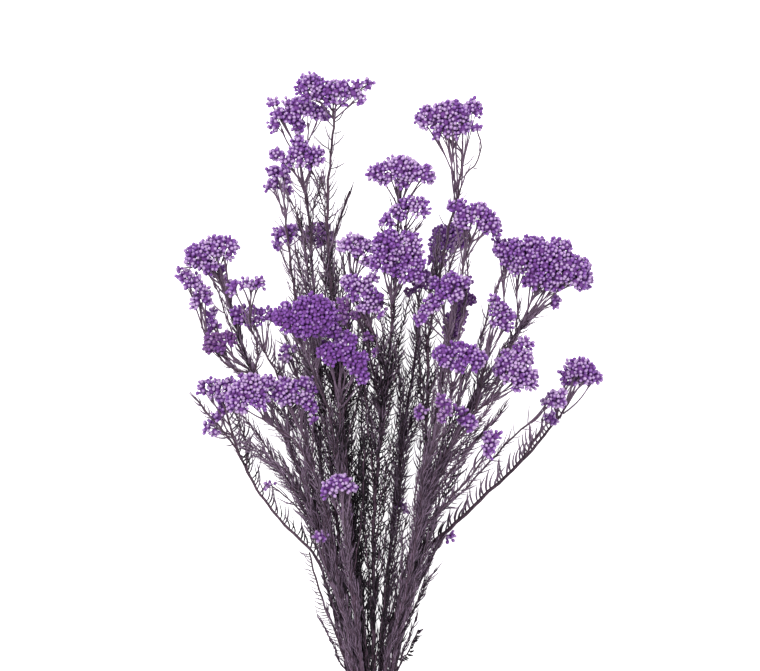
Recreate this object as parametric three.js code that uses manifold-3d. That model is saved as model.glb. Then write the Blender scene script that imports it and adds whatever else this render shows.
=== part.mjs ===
// A bunch of dried rice flower that lies on a surface: leafy stems held by a band, with domed flower heads.
// Millimetres. +Y runs from the band to the flowers, +X to the right, +Z up from the surface.
import * as THREE from "three";
import { mergeVertices } from "three/addons/utils/BufferGeometryUtils.js";
import { ConvexHull } from "three/addons/math/ConvexHull.js";
import Module from "manifold-3d";

const wasm = await Module();
wasm.setup();

// Driving dimensions
const GAP = 0.3; // left free between neighbouring pieces
const SEED = 20611;

const STEM_RADIUS = 1.9; // at the band
const STEM_TIP_RADIUS = 1.1; // below the topmost flower head
const STEM_SIDES = 4;
const BRANCH_RADIUS = 1.0;
const BRANCH_TIP_RADIUS = 0.8;
const BRANCH_SIDES = 3;
const CUT_END = 80; // length of bare stem below the middle of the band
const CUT_END_SPREAD = 8; // how much the cut ends differ in length
const CUT_END_SPLAY = 1.25; // how much wider the cut ends stand than the stems in the band

const NEEDLE_LENGTH = 10.5;
const NEEDLE_LENGTH_SPREAD = 2;
const NEEDLE_ANGLE = 40; // degrees away from the stem
const NEEDLE_ANGLE_SPREAD = 9;
const NEEDLE_ROOT = 1.3; // height of the root on the stem
const NEEDLE_RADIUS = 0.7; // used to keep needles clear of what is near them
// Ways to fit a needle where its natural place is taken, as shares of its angle and length
const NEEDLE_FITS = [[1, 1], [0.7, 0.9], [1, 0.7], [0.7, 0.65]];
const OWN_STEM_SHARE = 0.4; // part of a needle, from its root, that may be close to its own stem
const OTHER_STEM_SHARE = 0.1; // and to another one
const COURSE_STEP = 12; // of the stretches that stand for a stem
const FIRST_NEEDLES = 26; // bare stem above the band
const BRANCH_BARE_START = 13;
const NECK_LENGTH = 3; // straight end of a branch, towards its flower head
const FORK_CLEARANCE = 7; // before a fork, and twice as much after it, where a stem has no needles
const NECK_BARE_END = 6;
const TIP_BARE_END = 5;
const STEM_WHORL_PITCH = 26.5;
const BRANCH_WHORL_PITCH = 22;
const WHORL_SLANT = 2.6; // how far a whorl's sides lie apart along the stem

const PEDICEL_RADIUS = 0.85;
const PEDICEL_ANGLES = [52, 42, 32, 22, 12]; // degrees away from the neck, the first that meets the head
const BUD_PITCH = 9.6; // larger than life: a real bud is about 2.8 across
const BUD_RELIEF = 2.5; // depth of the valleys between the buds
const BUD_UNEVEN = 0.05; // how much the buds differ in height, as a share of the lobe
const DEEPEST_VALLEY = 0.25; // the same share, at most
const FEWEST_BUDS = 8; // on the smallest lobe
const BUD_TUFT = [4.5, 4, 4]; // half width, height and depth of a few buds on a twig
const STEEPEST_FACING = 0.3; // how squarely a pedicel meets the bud that it points at, at least
const HEAD_CLEARANCE = 1.2; // between a needle's middle line and a flower head
const HEAD_NEIGHBOURHOOD = 60; // how far from a head's middle its furthest bud can be
const NEEDLE_SAMPLES = [0.4, 0.7, 1]; // places along a needle, as shares, that have to be outside every head

const BAND_WIDTH = 8;
const BAND_WALL = 1.8;
const BAND_CORNER_STEPS = 3;
const BAND_SLACK = 0.6; // between the outer stems and the band
const COLUMN_PITCH = 5; // between the stems in the band, sideways
const ROW_PITCH = 4.6; // between the stems in the band, upwards
const FIRST_ROW = BAND_WALL + BAND_SLACK + STEM_RADIUS;
const COLUMNS = 5;
const ROWS = 3;

// Finishes
const STEM_MATERIAL = new THREE.MeshStandardMaterial({ color: 0x4a3a4c, roughness: 0.85, metalness: 0 });
const BUD_MATERIAL = new THREE.MeshStandardMaterial({ color: 0x7d4fa3, roughness: 0.7, metalness: 0 });
const BAND_MATERIAL = new THREE.MeshStandardMaterial({ color: 0xb59a72, roughness: 0.6, metalness: 0 });

// Flower heads. The neck is where the pedicels part. Each lobe is its centre x, y, z and then its half width,
// half height and half depth; a head leans from its neck towards its first lobe.
const FLOWER_HEADS = {
  flower_head_01: { neck: [-31, 473, 88], lobes: [[-29, 486, 95, 12, 9, 12], [-45, 488, 95, 14, 10, 12],
    [-15, 489, 94, 9, 8, 9], [-5, 491, 93, 6, 5, 6]] },
  flower_head_02: { neck: [-56, 457, 62], lobes: [[-56, 472, 68, 14, 10, 12], [-73, 468, 67, 9, 9, 9],
    [-42, 470, 68, 9, 8, 9], [-79, 475, 67, 7, 6, 6]] },
  flower_head_03: { neck: [-55, 423, 76], lobes: [[-56, 438, 88, 11, 12, 11], [-58, 450, 88, 7, 7, 8],
    [-43, 441, 88, 7, 6, 7], [-67, 436, 87, 7, 6, 7], [-74, 439, 87, 6, 6, 6]] },
  flower_head_04: { neck: [-69, 404, 13], lobes: [[-71, 424, 6.5, 9, 9, 9], [-80, 416, 6, 8, 6, 7],
    [-65, 416, 7, 6, 6, 6]] },
  flower_head_05: { neck: [-65, 360, 9], lobes: [[-68, 380, 6, 8, 8, 8], [-73, 372, 6, 6, 8, 7]] },
  flower_head_06: { neck: [-41, 366, 8], lobes: [[-46, 380, 6, 11, 7, 8]] },
  flower_head_07: { neck: [64, 443, 83], lobes: [[56, 469, 88, 13, 11, 13], [39, 469, 88, 9, 8, 9],
    [73, 473, 88, 9, 7, 8], [64, 459, 88, 9, 7, 8], [49, 457, 88, 7, 5, 6]] },
  flower_head_08: { neck: [19, 408, 108], lobes: [[19, 430, 125, 15, 9, 14], [3, 426, 125, 10, 8, 10],
    [36, 423, 125, 10, 9, 10]] },
  flower_head_09: { neck: [22, 385, 103], lobes: [[29, 400, 114, 12, 7, 9], [16, 397, 114, 8, 6, 8],
    [8, 390, 114, 6, 7, 6]] },
  flower_head_10: { neck: [71, 378, 92], lobes: [[79, 395, 98, 11, 9, 11], [68, 398, 98, 8, 8, 9],
    [89, 389, 98, 9, 8, 10]] },
  flower_head_11: { neck: [47, 353, 9], lobes: [[49, 377, 7.5, 10, 10, 10], [60, 381, 7, 8, 9, 8],
    [45, 366, 7, 7, 8, 7]] },
  flower_head_12: { neck: [121, 328, 68], lobes: [[130, 358, 78, 18, 16, 19], [103, 367, 78, 13, 10, 12],
    [151, 350, 78, 13, 13, 15], [117, 369, 78, 12, 9, 13], [124, 345, 78, 11, 8, 12]] },
  flower_head_13: { neck: [-18, 353, 99], lobes: [[-20, 371, 110, 9, 9, 9], [-8, 368, 110, 9, 11, 9]] },
  flower_head_14: { neck: [12, 336, 108], lobes: [[10, 370, 124, 13, 12, 12], [8, 356, 123, 11, 10, 10],
    [27, 371, 124, 11, 10, 10], [26, 357, 123, 10, 12, 9]] },
  flower_head_15: { neck: [-9, 322, 98], lobes: [[-15, 340, 107, 12, 8, 9], [-2, 334, 106, 8, 10, 8]] },
  flower_head_16: { neck: [33, 334, 36], lobes: [[34, 349, 44, 9, 8, 8]] },
  flower_head_17: { neck: [53, 314, 102], lobes: [[50, 331, 112, 8, 7, 8], [57, 343, 112, 11, 8, 9],
    [46, 341, 112, 8, 8, 8], [41, 324, 111, 8, 6, 7], [34, 319, 110, 6, 5, 6]] },
  flower_head_18: { neck: [57, 291, 57], lobes: [[60, 307, 62, 7, 9, 7], [63, 318, 62, 7, 9, 7],
    [67, 330, 62, 8, 9, 8], [68, 341, 62, 7, 8, 7]] },
  flower_head_19: { neck: [-49, 290, 127], lobes: [[-46, 319, 150, 18, 16, 18],
    [-65, 316, 148, 11, 12, 12]] },
  flower_head_20: { neck: [-25, 263, 122], lobes: [[-25, 288, 136, 9, 8, 9], [-36, 290, 136, 9, 10, 10],
    [-21, 298, 136, 9, 7, 9], [-13, 283, 136, 9, 9, 8], [-10, 272, 135, 7, 8, 6]] },
  flower_head_21: { neck: [-118, 350, 65], lobes: [[-120, 367, 72, 13, 9, 12], [-134, 362, 71, 10, 10, 10],
    [-107, 367, 72, 7, 9, 9]] },
  flower_head_22: { neck: [-131, 315, 53], lobes: [[-133, 332, 58, 8, 10, 8], [-138, 342, 58, 8, 8, 7],
    [-143, 349, 58, 7, 6, 6]] },
  flower_head_23: { neck: [-111, 328, 50], lobes: [[-115, 343, 46, 6, 10, 6]] },
  flower_head_24: { neck: [-94, 329, 88], lobes: [[-95, 342, 94, 7, 6, 7], [-104, 340, 94, 6, 6, 6],
    [-87, 344, 94, 5, 5, 5]] },
  flower_head_25: { neck: [-121, 297, 46], lobes: [[-124, 311, 42, 6, 6, 5], [-124, 319, 42, 5, 6, 5]] },
  flower_head_26: { neck: [-106, 289, 57], lobes: [[-111, 303, 64, 7, 6, 6], [-120, 299, 64, 8, 6, 7]] },
  flower_head_27: { neck: [-87, 304, 60], lobes: [[-90, 320, 66, 8, 7, 7], [-101, 319, 66, 7, 9, 7],
    [-80, 317, 66, 7, 6, 6]] },
  flower_head_28: { neck: [-84, 243, 94], lobes: [[-92, 267, 106, 11, 10, 12], [-100, 258, 105, 9, 10, 9],
    [-85, 256, 105, 7, 8, 8]] },
  flower_head_29: { neck: [-115, 251, 20], lobes: [[-116, 266, 24, 9, 7, 8], [-128, 265, 24, 8, 6, 6]] },
  flower_head_30: { neck: [-110, 229, 8], lobes: [[-115, 241, 6, 6, 8, 7], [-123, 235, 6, 8, 7, 7]] },
  flower_head_31: { neck: [-61, 249, 80], lobes: [[-65, 264, 88, 13, 8, 11], [-55, 268, 88, 8, 8, 8]] },
  flower_head_32: { neck: [-61, 280, 25], lobes: [[-64, 291, 30, 8, 6, 6]] },
  flower_head_33: { neck: [89, 304, 87], lobes: [[98, 318, 92, 7, 9, 8], [95, 326, 92, 7, 8, 7],
    [88, 332, 92, 6, 5, 5]] },
  flower_head_34: { neck: [58, 270, 116], lobes: [[66, 288, 130, 13, 9, 12], [50, 290, 130, 11, 9, 10]] },
  flower_head_35: { neck: [91, 261, 88], lobes: [[101, 277, 98, 13, 11, 14], [115, 274, 98, 9, 10, 10],
    [112, 287, 97, 9, 9, 9], [113, 296, 96, 7, 6, 6]] },
  flower_head_36: { neck: [147, 255, 12], lobes: [[155, 276, 12, 13, 12, 14], [164, 271, 11, 8, 8, 8]] },
  flower_head_37: { neck: [125, 245, 58], lobes: [[136, 260, 62, 8, 6, 7], [130, 253, 61, 6, 6, 6]] },
  flower_head_38: { neck: [126, 232, 18], lobes: [[131, 241, 22, 6, 5, 5]] },
  flower_head_39: { neck: [80, 204, 72], lobes: [[88, 226, 78, 8, 8, 8], [86, 216, 77, 6, 7, 6]] },
  flower_head_40: { neck: [51, 234, 105], lobes: [[52, 246, 112, 6, 8, 6], [52, 254, 112, 7, 7, 6]] },
  flower_head_41: { neck: [63, 230, 84], lobes: [[66, 246, 92, 8, 8, 7], [72, 239, 91, 7, 7, 6]] },
  flower_head_42: { neck: [-24, 173, 90], lobes: [[-26, 193, 98, 10, 7, 9], [-34, 189, 97, 7, 6, 6],
    [-18, 190, 97, 6, 6, 6]] },
  flower_head_43: { neck: [-40, 143, 46], lobes: [[-41, 154, 50, 6, 6, 6]] },
};

// Leafy stems, by their row and column in the band. The path starts above the band. A fork leaves the path
// at the point numbered `at`, runs through its own points and ends at a flower head's neck, in a few buds or
// in a leafy tip.
const LEAFY_STEMS = [
  { row: 0, column: 0, path: [[-20, 52, 6], [-34, 105, 7], [-45, 138, 7.5], [-62, 154, 8], [-79, 174, 8],
    [-94, 197, 8], [-103, 217, 9], [-110, 236, 13]], head: "flower_head_29",
    forks: [{ at: 6, via: [], head: "flower_head_30" },
      { at: 6, via: [[-117, 233, 15], [-128, 246, 17]], tip: [-137, 257, 17] },
      { at: 0, via: [[-34, 82, 13], [-46, 110, 15]], tip: [-56, 141, 17] }] },
  { row: 0, column: 1, path: [[-15, 52, 6], [-26, 105, 6.5], [-35, 165, 7], [-44, 225, 8], [-52, 277, 10],
    [-59, 322, 15], [-64, 358, 20], [-67, 386, 21]], head: "flower_head_04",
    forks: [{ at: 5, via: [[-62, 342, 11]], head: "flower_head_05" },
      { at: 3, via: [[-53, 256, 16]], head: "flower_head_32" },
      { at: 2, via: [[-50, 192, 13]], tip: [-62, 212, 15] }] },
  { row: 0, column: 2, path: [[-7, 52, 6], [-14, 105, 6.5], [-20, 165, 7], [-25, 225, 8], [-28, 277, 8.5],
    [-30, 330, 9], [-29, 366, 10], [-24, 388, 12]], tip: [-19, 413, 15],
    forks: [{ at: 5, via: [[-36, 352, 8.5]], head: "flower_head_06" },
      { at: 4, via: [], buds: [-23, 312, 22] }] },
  { row: 0, column: 3, path: [[4, 52, 6], [10, 105, 6.5], [16, 165, 7], [22, 225, 8], [29, 277, 8.5],
    [37, 322, 9]], head: "flower_head_11",
    forks: [{ at: 4, via: [[32, 306, 22]], head: "flower_head_16" },
      { at: 3, via: [], buds: [34, 246, 22] },
      { at: 2, via: [], buds: [21, 174, 22] }] },
  { row: 0, column: 4, path: [[13, 52, 6], [24, 105, 7], [35, 138, 8], [49, 150, 8.5], [66, 165, 9],
    [79, 178, 9.5], [94, 193, 10], [109, 208, 10], [127, 228, 10], [140, 245, 11]], head: "flower_head_36",
    forks: [{ at: 7, via: [], head: "flower_head_38" },
      { at: 3, via: [], buds: [58, 155, 14] }] },
  { row: 1, column: 0, path: [[-19, 52, 16], [-29, 105, 24], [-38, 150, 30], [-50, 195, 36], [-64, 229, 41],
    [-79, 255, 45], [-90, 274, 49], [-98, 292, 53], [-105, 316, 58]], head: "flower_head_21",
    forks: [{ at: 5, via: [[-103, 276, 44], [-115, 288, 46]], head: "flower_head_25" },
      { at: 8, via: [], head: "flower_head_23" },
      { at: 6, via: [[-112, 284, 51], [-124, 296, 52]], head: "flower_head_22" },
      { at: 6, via: [[-99, 281, 53]], head: "flower_head_26" },
      { at: 6, via: [[-88, 292, 66], [-93, 312, 82]], head: "flower_head_24" },
      { at: 5, via: [[-82, 280, 53]], head: "flower_head_27" }] },
  { row: 1, column: 1, path: [[-13, 52, 17], [-22, 105, 25], [-29, 165, 33], [-35, 225, 40], [-41, 277, 46],
    [-45, 322, 51], [-48, 367, 56], [-50, 397, 59], [-53, 416, 61], [-56, 436, 60]], head: "flower_head_02",
    forks: [{ at: 7, via: [], head: "flower_head_03" },
      { at: 5, via: [[-54, 345, 54]], tip: [-60, 368, 58] }] },
  { row: 1, column: 2, path: [[-6, 52, 18], [-12, 105, 28], [-18, 165, 38], [-23, 225, 47], [-28, 277, 55],
    [-32, 322, 62], [-34, 367, 69], [-34, 405, 75], [-32, 435, 80], [-31, 458, 85]], head: "flower_head_01",
    forks: [{ at: 6, via: [[-28, 384, 74]], tip: [-21, 404, 78] },
      { at: 7, via: [], tip: [-41, 422, 84] }] },
  { row: 1, column: 3, path: [[7, 52, 17], [14, 105, 26], [22, 165, 35], [30, 225, 44], [38, 277, 52],
    [46, 322, 60], [52, 360, 66], [56, 386, 71], [61, 405, 75], [64, 424, 79]], head: "flower_head_07",
    forks: [{ at: 4, via: [], head: "flower_head_18" },
      { at: 6, via: [], tip: [46, 385, 68] }] },
  { row: 1, column: 4, path: [[13, 52, 16], [23, 105, 24], [34, 150, 31], [47, 195, 38], [62, 232, 44],
    [77, 262, 49], [94, 289, 55], [107, 309, 60]], head: "flower_head_12",
    forks: [{ at: 5, via: [[83, 300, 60], [92, 334, 68]], tip: [100, 352, 72] },
      { at: 7, via: [[124, 320, 60]], buds: [137, 326, 60] }] },
  { row: 2, column: 0, path: [[-16, 52, 25], [-25, 105, 38], [-35, 165, 53], [-47, 202, 65], [-61, 225, 76]],
    head: "flower_head_28",
    forks: [{ at: 3, via: [[-55, 230, 72]], head: "flower_head_31" }] },
  { row: 2, column: 1, path: [[-10, 52, 27], [-16, 105, 44], [-22, 165, 65], [-29, 217, 87], [-36, 252, 101],
    [-44, 270, 112]], head: "flower_head_19",
    forks: [{ at: 3, via: [[-26, 242, 103]], head: "flower_head_20" },
      { at: 1, via: [[-20, 140, 66]], head: "flower_head_42" },
      { at: 1, via: [[-23, 136, 50]], buds: [-25, 168, 54] },
      { at: 0, via: [[-20, 85, 39], [-34, 120, 43]], head: "flower_head_43" }] },
  { row: 2, column: 2, path: [[-1, 52, 27], [0, 105, 42], [3, 165, 59], [6, 225, 74], [10, 277, 86],
    [13, 312, 93], [15, 340, 97], [16, 368, 98], [17, 388, 97]], head: "flower_head_08",
    forks: [{ at: 5, via: [], head: "flower_head_14" },
      { at: 4, via: [[-6, 312, 84], [-13, 334, 88]], head: "flower_head_13" },
      { at: 4, via: [[0, 302, 91]], head: "flower_head_15" },
      { at: 7, via: [], head: "flower_head_09" }] },
  { row: 2, column: 3, path: [[8, 52, 26], [16, 105, 40], [25, 165, 55], [34, 225, 68], [44, 270, 78],
    [53, 300, 84], [60, 323, 87], [64, 346, 89]], head: "flower_head_10",
    forks: [{ at: 2, via: [[40, 212, 80], [54, 250, 93]], head: "flower_head_34" },
      { at: 4, via: [[50, 294, 91]], head: "flower_head_17" },
      { at: 2, via: [[37, 205, 82]], head: "flower_head_40" },
      { at: 2, via: [[50, 210, 72]], head: "flower_head_41" }] },
  { row: 2, column: 4, path: [[12, 52, 24], [22, 105, 35], [33, 157, 47], [46, 195, 57], [62, 225, 68],
    [77, 246, 77]], head: "flower_head_35",
    forks: [{ at: 2, via: [[67, 187, 50], [86, 208, 52], [109, 232, 55]], head: "flower_head_37" },
      { at: 5, via: [[82, 280, 84]], head: "flower_head_33" },
      { at: 3, via: [], head: "flower_head_39" }] },
];

// Seeded draws, so that every build is the same
function seededDraws(seed) {
  let state = seed;
  return () => {
    state = (Math.imul(state, 1664525) + 1013904223) >>> 0;
    return state / 4294967296;
  };
}
const draw = seededDraws(SEED);
const drawBetween = (low, high) => low + (high - low) * draw();
const vector = (point) => new THREE.Vector3(...point);
const middleOf = ([x, y, z]) => new THREE.Vector3(x, y, z);
const UP = new THREE.Vector3(0, 0, 1);
const SAME_PLACE = 1e-4; // corners closer than this are one
const COURSE_DIVISIONS = 400; // used to measure lengths along a course
const BELOW_THE_SURFACE = { width: 1000, length: 1200, depth: 100 };

// Solids for joining and cutting
function solidFrom(points, triangles) {
  const vertProperties = new Float32Array(points.flatMap((point) => [point.x, point.y, point.z]));
  const triVerts = new Uint32Array(triangles);
  return new wasm.Manifold(new wasm.Mesh({ numProp: 3, vertProperties, triVerts }));
}

function solidFromGeometry(geometry) {
  const bare = geometry.clone();
  bare.deleteAttribute("normal");
  bare.deleteAttribute("uv");
  const merged = mergeVertices(bare, SAME_PLACE);
  const vertProperties = new Float32Array(merged.attributes.position.array);
  const triVerts = new Uint32Array(merged.index.array);
  return new wasm.Manifold(new wasm.Mesh({ numProp: 3, vertProperties, triVerts }));
}

// The largest body of a joined solid: hollows that joining has sealed are filled and loose scraps left out
function mainBody(solid) {
  const bodies = solid.decompose();
  return bodies.reduce((largest, body) => (body.volume() > largest.volume() ? body : largest));
}

function meshFrom(name, solid, material) {
  const { vertProperties, triVerts } = solid.getMesh();
  const geometry = new THREE.BufferGeometry();
  geometry.setAttribute("position", new THREE.BufferAttribute(new Float32Array(vertProperties), 3));
  geometry.setIndex(new THREE.BufferAttribute(new Uint32Array(triVerts), 1));
  geometry.computeVertexNormals();
  const mesh = new THREE.Mesh(geometry, material);
  mesh.name = name;
  return mesh;
}

// Points spread evenly over a ball of radius 1
function evenDirections(count) {
  const turn = Math.PI * (3 - Math.sqrt(5));
  return Array.from({ length: count }, (_, i) => {
    const height = 1 - (2 * i + 1) / count;
    const radius = Math.sqrt(1 - height * height);
    return new THREE.Vector3(radius * Math.cos(turn * i), height, radius * Math.sin(turn * i));
  });
}

// A lobe of buds: each bud is a raised point over a cell, whose corners are the valleys between three buds
function lobeOfBuds([x, y, z, halfWidth, halfHeight, halfDepth], lean) {
  const mean = (halfWidth + halfHeight + halfDepth) / 3;
  const count = Math.max(FEWEST_BUDS, Math.round((4 * Math.PI * mean * mean) / (BUD_PITCH * BUD_PITCH)));
  const valleyReach = 1 - Math.min(BUD_RELIEF / mean, DEEPEST_VALLEY);
  const place = (direction, reach) =>
    new THREE.Vector3(direction.x * halfWidth, direction.y * halfHeight, direction.z * halfDepth)
      .multiplyScalar(reach)
      .applyAxisAngle(UP, lean)
      .add(new THREE.Vector3(x, y, z));
  const buds = evenDirections(count);
  const points = buds.map((bud) => place(bud, 1 + drawBetween(-BUD_UNEVEN, BUD_UNEVEN)));
  const cells = new ConvexHull().setFromPoints(buds).faces;
  const valleys = new Map();
  for (const cell of cells) {
    const middle = new THREE.Vector3();
    for (const side of [0, 1, 2]) middle.add(cell.getEdge(side).head().point);
    valleys.set(cell, points.length);
    points.push(place(middle.normalize(), valleyReach));
  }
  const triangles = [];
  for (const cell of cells) {
    for (const side of [0, 1, 2]) {
      const edge = cell.getEdge(side);
      triangles.push(buds.indexOf(edge.tail().point), valleys.get(edge.twin.face), valleys.get(cell));
    }
  }
  return solidFrom(points, triangles);
}

function blockBelowTheSurface() {
  const { width, length, depth } = BELOW_THE_SURFACE;
  const block = new THREE.BoxGeometry(width, length, depth);
  return solidFromGeometry(block.translate(0, 0, -depth / 2));
}
const groundBlock = blockBelowTheSurface();

const leanOf = ({ neck, lobes }) => Math.atan2(neck[0] - lobes[0][0], lobes[0][1] - neck[1]);

function flowerHead(head) {
  const lobes = head.lobes.map((lobe) => lobeOfBuds(lobe, leanOf(head)));
  return mainBody(wasm.Manifold.union(lobes).subtract(groundBlock));
}

// Shortest distance between two straight stretches
function stretchDistance(first, second) {
  const along = new THREE.Vector3().subVectors(first.end, first.start);
  const across = new THREE.Vector3().subVectors(second.end, second.start);
  const between = new THREE.Vector3().subVectors(first.start, second.start);
  const a = along.dot(along);
  const b = along.dot(across);
  const c = across.dot(across);
  const d = along.dot(between);
  const e = across.dot(between);
  const skew = a * c - b * b;
  let s = skew > 1e-9 ? THREE.MathUtils.clamp((b * e - c * d) / skew, 0, 1) : 0;
  const t = THREE.MathUtils.clamp((b * s + e) / c, 0, 1);
  s = THREE.MathUtils.clamp((b * t - d) / a, 0, 1);
  return between.addScaledVector(along, s).addScaledVector(across, -t).length();
}

// What is already placed: stretches of stem, pedicel and needle, each with its owner and radius
const placed = [];

function placeStretch(owner, start, end, radius) {
  const middle = new THREE.Vector3().addVectors(start, end).multiplyScalar(0.5);
  placed.push({ owner, start, end, radius, middle, reach: middle.distanceTo(start) + radius });
}

function insideHead(point, { lobes, neck }) {
  return lobes.some(([x, y, z, halfWidth, halfHeight, halfDepth]) => {
    const local = point.clone().sub(new THREE.Vector3(x, y, z)).applyAxisAngle(UP, -leanOf({ lobes, neck }));
    const margin = HEAD_CLEARANCE;
    local.divide(new THREE.Vector3(halfWidth + margin, halfHeight + margin, halfDepth + margin));
    return local.length() < 1;
  });
}

function needleIsClear(owner, root, tip) {
  if (tip.z < GAP) return false;
  const middle = new THREE.Vector3().addVectors(root, tip).multiplyScalar(0.5);
  const reach = middle.distanceTo(root) + NEEDLE_RADIUS;
  for (const stretch of placed) {
    if (stretch.middle.distanceTo(middle) > stretch.reach + reach + GAP) continue;
    const from = stretch.owner === owner ? OWN_STEM_SHARE : OTHER_STEM_SHARE;
    const outer = { start: new THREE.Vector3().lerpVectors(root, tip, from), end: tip };
    if (stretchDistance(outer, stretch) < stretch.radius + NEEDLE_RADIUS + GAP) return false;
  }
  const samples = NEEDLE_SAMPLES.map((share) => new THREE.Vector3().lerpVectors(root, tip, share));
  return !Object.values(FLOWER_HEADS).some(
    (head) => vector(head.lobes[0]).distanceTo(tip) < HEAD_NEIGHBOURHOOD
      && samples.some((sample) => insideHead(sample, head)));
}

// The first needle that is clear of everything, from the natural one to shorter and closer ones
function fitNeedle(owner, root, outward, forward) {
  const angle = THREE.MathUtils.degToRad(drawBetween(NEEDLE_ANGLE - NEEDLE_ANGLE_SPREAD,
    NEEDLE_ANGLE + NEEDLE_ANGLE_SPREAD));
  const length = drawBetween(NEEDLE_LENGTH - NEEDLE_LENGTH_SPREAD, NEEDLE_LENGTH + NEEDLE_LENGTH_SPREAD);
  for (const [angleShare, lengthShare] of NEEDLE_FITS) {
    const direction = outward.clone().multiplyScalar(Math.sin(angle * angleShare))
      .addScaledVector(forward, Math.cos(angle * angleShare));
    const tip = root.clone().addScaledVector(direction, length * lengthShare);
    if (needleIsClear(owner, root, tip)) {
      placeStretch(owner, root, tip, NEEDLE_RADIUS);
      return tip;
    }
  }
  return null;
}

// A stem's or a branch's course
function course(waypoints) {
  const curve = new THREE.CatmullRomCurve3(waypoints.map(vector), false, "centripetal");
  curve.arcLengthDivisions = COURSE_DIVISIONS;
  return { curve, length: curve.getLength() };
}

function placeCourse(owner, { curve, length }, radius) {
  const steps = Math.ceil(length / COURSE_STEP);
  for (let i = 0; i < steps; i += 1) {
    placeStretch(owner, curve.getPointAt(i / steps), curve.getPointAt((i + 1) / steps), radius);
  }
}

// How far along a course the place nearest to a point is
function distanceAlong({ curve, length }, point) {
  const steps = Math.ceil(length);
  let nearest = 0;
  for (let i = 0; i <= steps; i += 1) {
    const place = curve.getPointAt(i / steps);
    if (place.distanceTo(point) < curve.getPointAt(nearest / steps).distanceTo(point)) nearest = i;
  }
  return (nearest / steps) * length;
}

// The frame of a ring around a course
function ringFrame({ curve, length }, at) {
  const share = Math.min(at / length, 1);
  const forward = curve.getTangentAt(share);
  const sideways = new THREE.Vector3().crossVectors(forward, UP).normalize();
  const upward = new THREE.Vector3().crossVectors(forward, sideways);
  const outward = (angle) => sideways.clone().multiplyScalar(Math.cos(angle))
    .addScaledVector(upward, Math.sin(angle));
  const angleOf = (offset) => Math.atan2(offset.dot(upward), offset.dot(sideways));
  return { centre: curve.getPointAt(share), forward, outward, angleOf };
}

// The rings of a tube: single ones, and pairs of rings for whorls of needles and of pedicels
function ringPlan({ path, isStem, forkPoints, ends }) {
  const { length } = path;
  const plan = isStem ? [0, CUT_END - BAND_WIDTH, CUT_END + BAND_WIDTH].map((at) => ({ at })) : [{ at: 0 }];
  const pair = (at, kind, more) => plan.push({ at, kind, ...more }, { at: at + NEEDLE_ROOT, ...more });
  const forkPlaces = forkPoints.map((point) => distanceAlong(path, vector(point)));
  const pitch = isStem ? STEM_WHORL_PITCH : BRANCH_WHORL_PITCH;
  const first = isStem ? CUT_END + FIRST_NEEDLES + drawBetween(0, pitch / 2) : BRANCH_BARE_START;
  const bareEnd = ends.tip ? TIP_BARE_END : NECK_BARE_END;
  for (let at = first; at < length - bareEnd; at += pitch) {
    const besideFork = forkPlaces.some(
      (place) => at > place - FORK_CLEARANCE && at < place + 2 * FORK_CLEARANCE);
    if (!besideFork) pair(at, "needles", { phase: drawBetween(0, 2 * Math.PI) });
    else plan.push({ at });
  }
  if (ends.head) pair(length - NEEDLE_ROOT, "pedicels");
  else if (!ends.tip) plan.push({ at: length });
  return plan;
}

// A tapered tube along a course, with facets raised into needles and, below a flower head, into pedicels
function leafyTube(owner, tube) {
  const { path, isStem, ends } = tube;
  const skin = { owner, points: [], triangles: [] };
  const { points, triangles } = skin;
  const sides = isStem ? STEM_SIDES : BRANCH_SIDES;
  const radiusAt = (at) => THREE.MathUtils.lerp(isStem ? STEM_RADIUS : BRANCH_RADIUS,
    isStem ? STEM_TIP_RADIUS : BRANCH_TIP_RADIUS, Math.min(at / path.length, 1));
  const rings = ringPlan(tube);
  let turn = 0;
  for (const ring of rings) {
    if (ring.kind === "needles") turn += Math.PI / sides;
    Object.assign(ring, ringFrame(path, ring.at), { turn, corners: [] });
    for (let side = 0; side < sides; side += 1) {
      const angle = (2 * Math.PI * side) / sides + turn;
      const slant = ring.phase === undefined ? 0 : (WHORL_SLANT / 2) * Math.cos(angle - ring.phase);
      ring.corners.push(points.length);
      points.push(ring.centre.clone().addScaledVector(ring.outward(angle), radiusAt(ring.at))
        .addScaledVector(ring.forward, slant));
    }
  }
  const addFacet = (facet, kind) => {
    if (kind === "needles" && growNeedle(skin, facet)) return;
    if (kind === "pedicels" && growPedicel(skin, facet, ends.head)) return;
    triangles.push(...facet.corners);
  };
  for (let i = 0; i + 1 < rings.length; i += 1) {
    const lower = rings[i];
    const upper = rings[i + 1];
    for (let side = 0; side < sides; side += 1) {
      const next = (side + 1) % sides;
      const outward = lower.outward((2 * Math.PI * (side + 0.5)) / sides + lower.turn);
      const corners = [lower.corners[side], lower.corners[next], upper.corners[side]];
      triangles.push(lower.corners[next], upper.corners[next], upper.corners[side]);
      addFacet({ corners, outward, forward: lower.forward }, lower.kind);
    }
  }
  const first = rings[0].corners;
  const last = rings[rings.length - 1];
  for (let side = 1; side + 1 < sides; side += 1) {
    triangles.push(first[0], first[side + 1], first[side]);
    if (ends.tip) continue;
    const corners = [last.corners[0], last.corners[side], last.corners[side + 1]];
    const isMiddle = ends.head && side === 1;
    addFacet({ corners, outward: last.forward, forward: last.forward }, isMiddle ? "pedicels" : null);
  }
  if (ends.tip) {
    points.push(path.curve.getPointAt(1));
    for (let side = 0; side < sides; side += 1) {
      triangles.push(last.corners[side], last.corners[(side + 1) % sides], points.length - 1);
    }
  }
  return solidFrom(points, triangles);
}

const middleOfFacet = ({ points }, corners) =>
  corners.reduce((sum, corner) => sum.add(points[corner]), new THREE.Vector3()).divideScalar(3);

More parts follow.
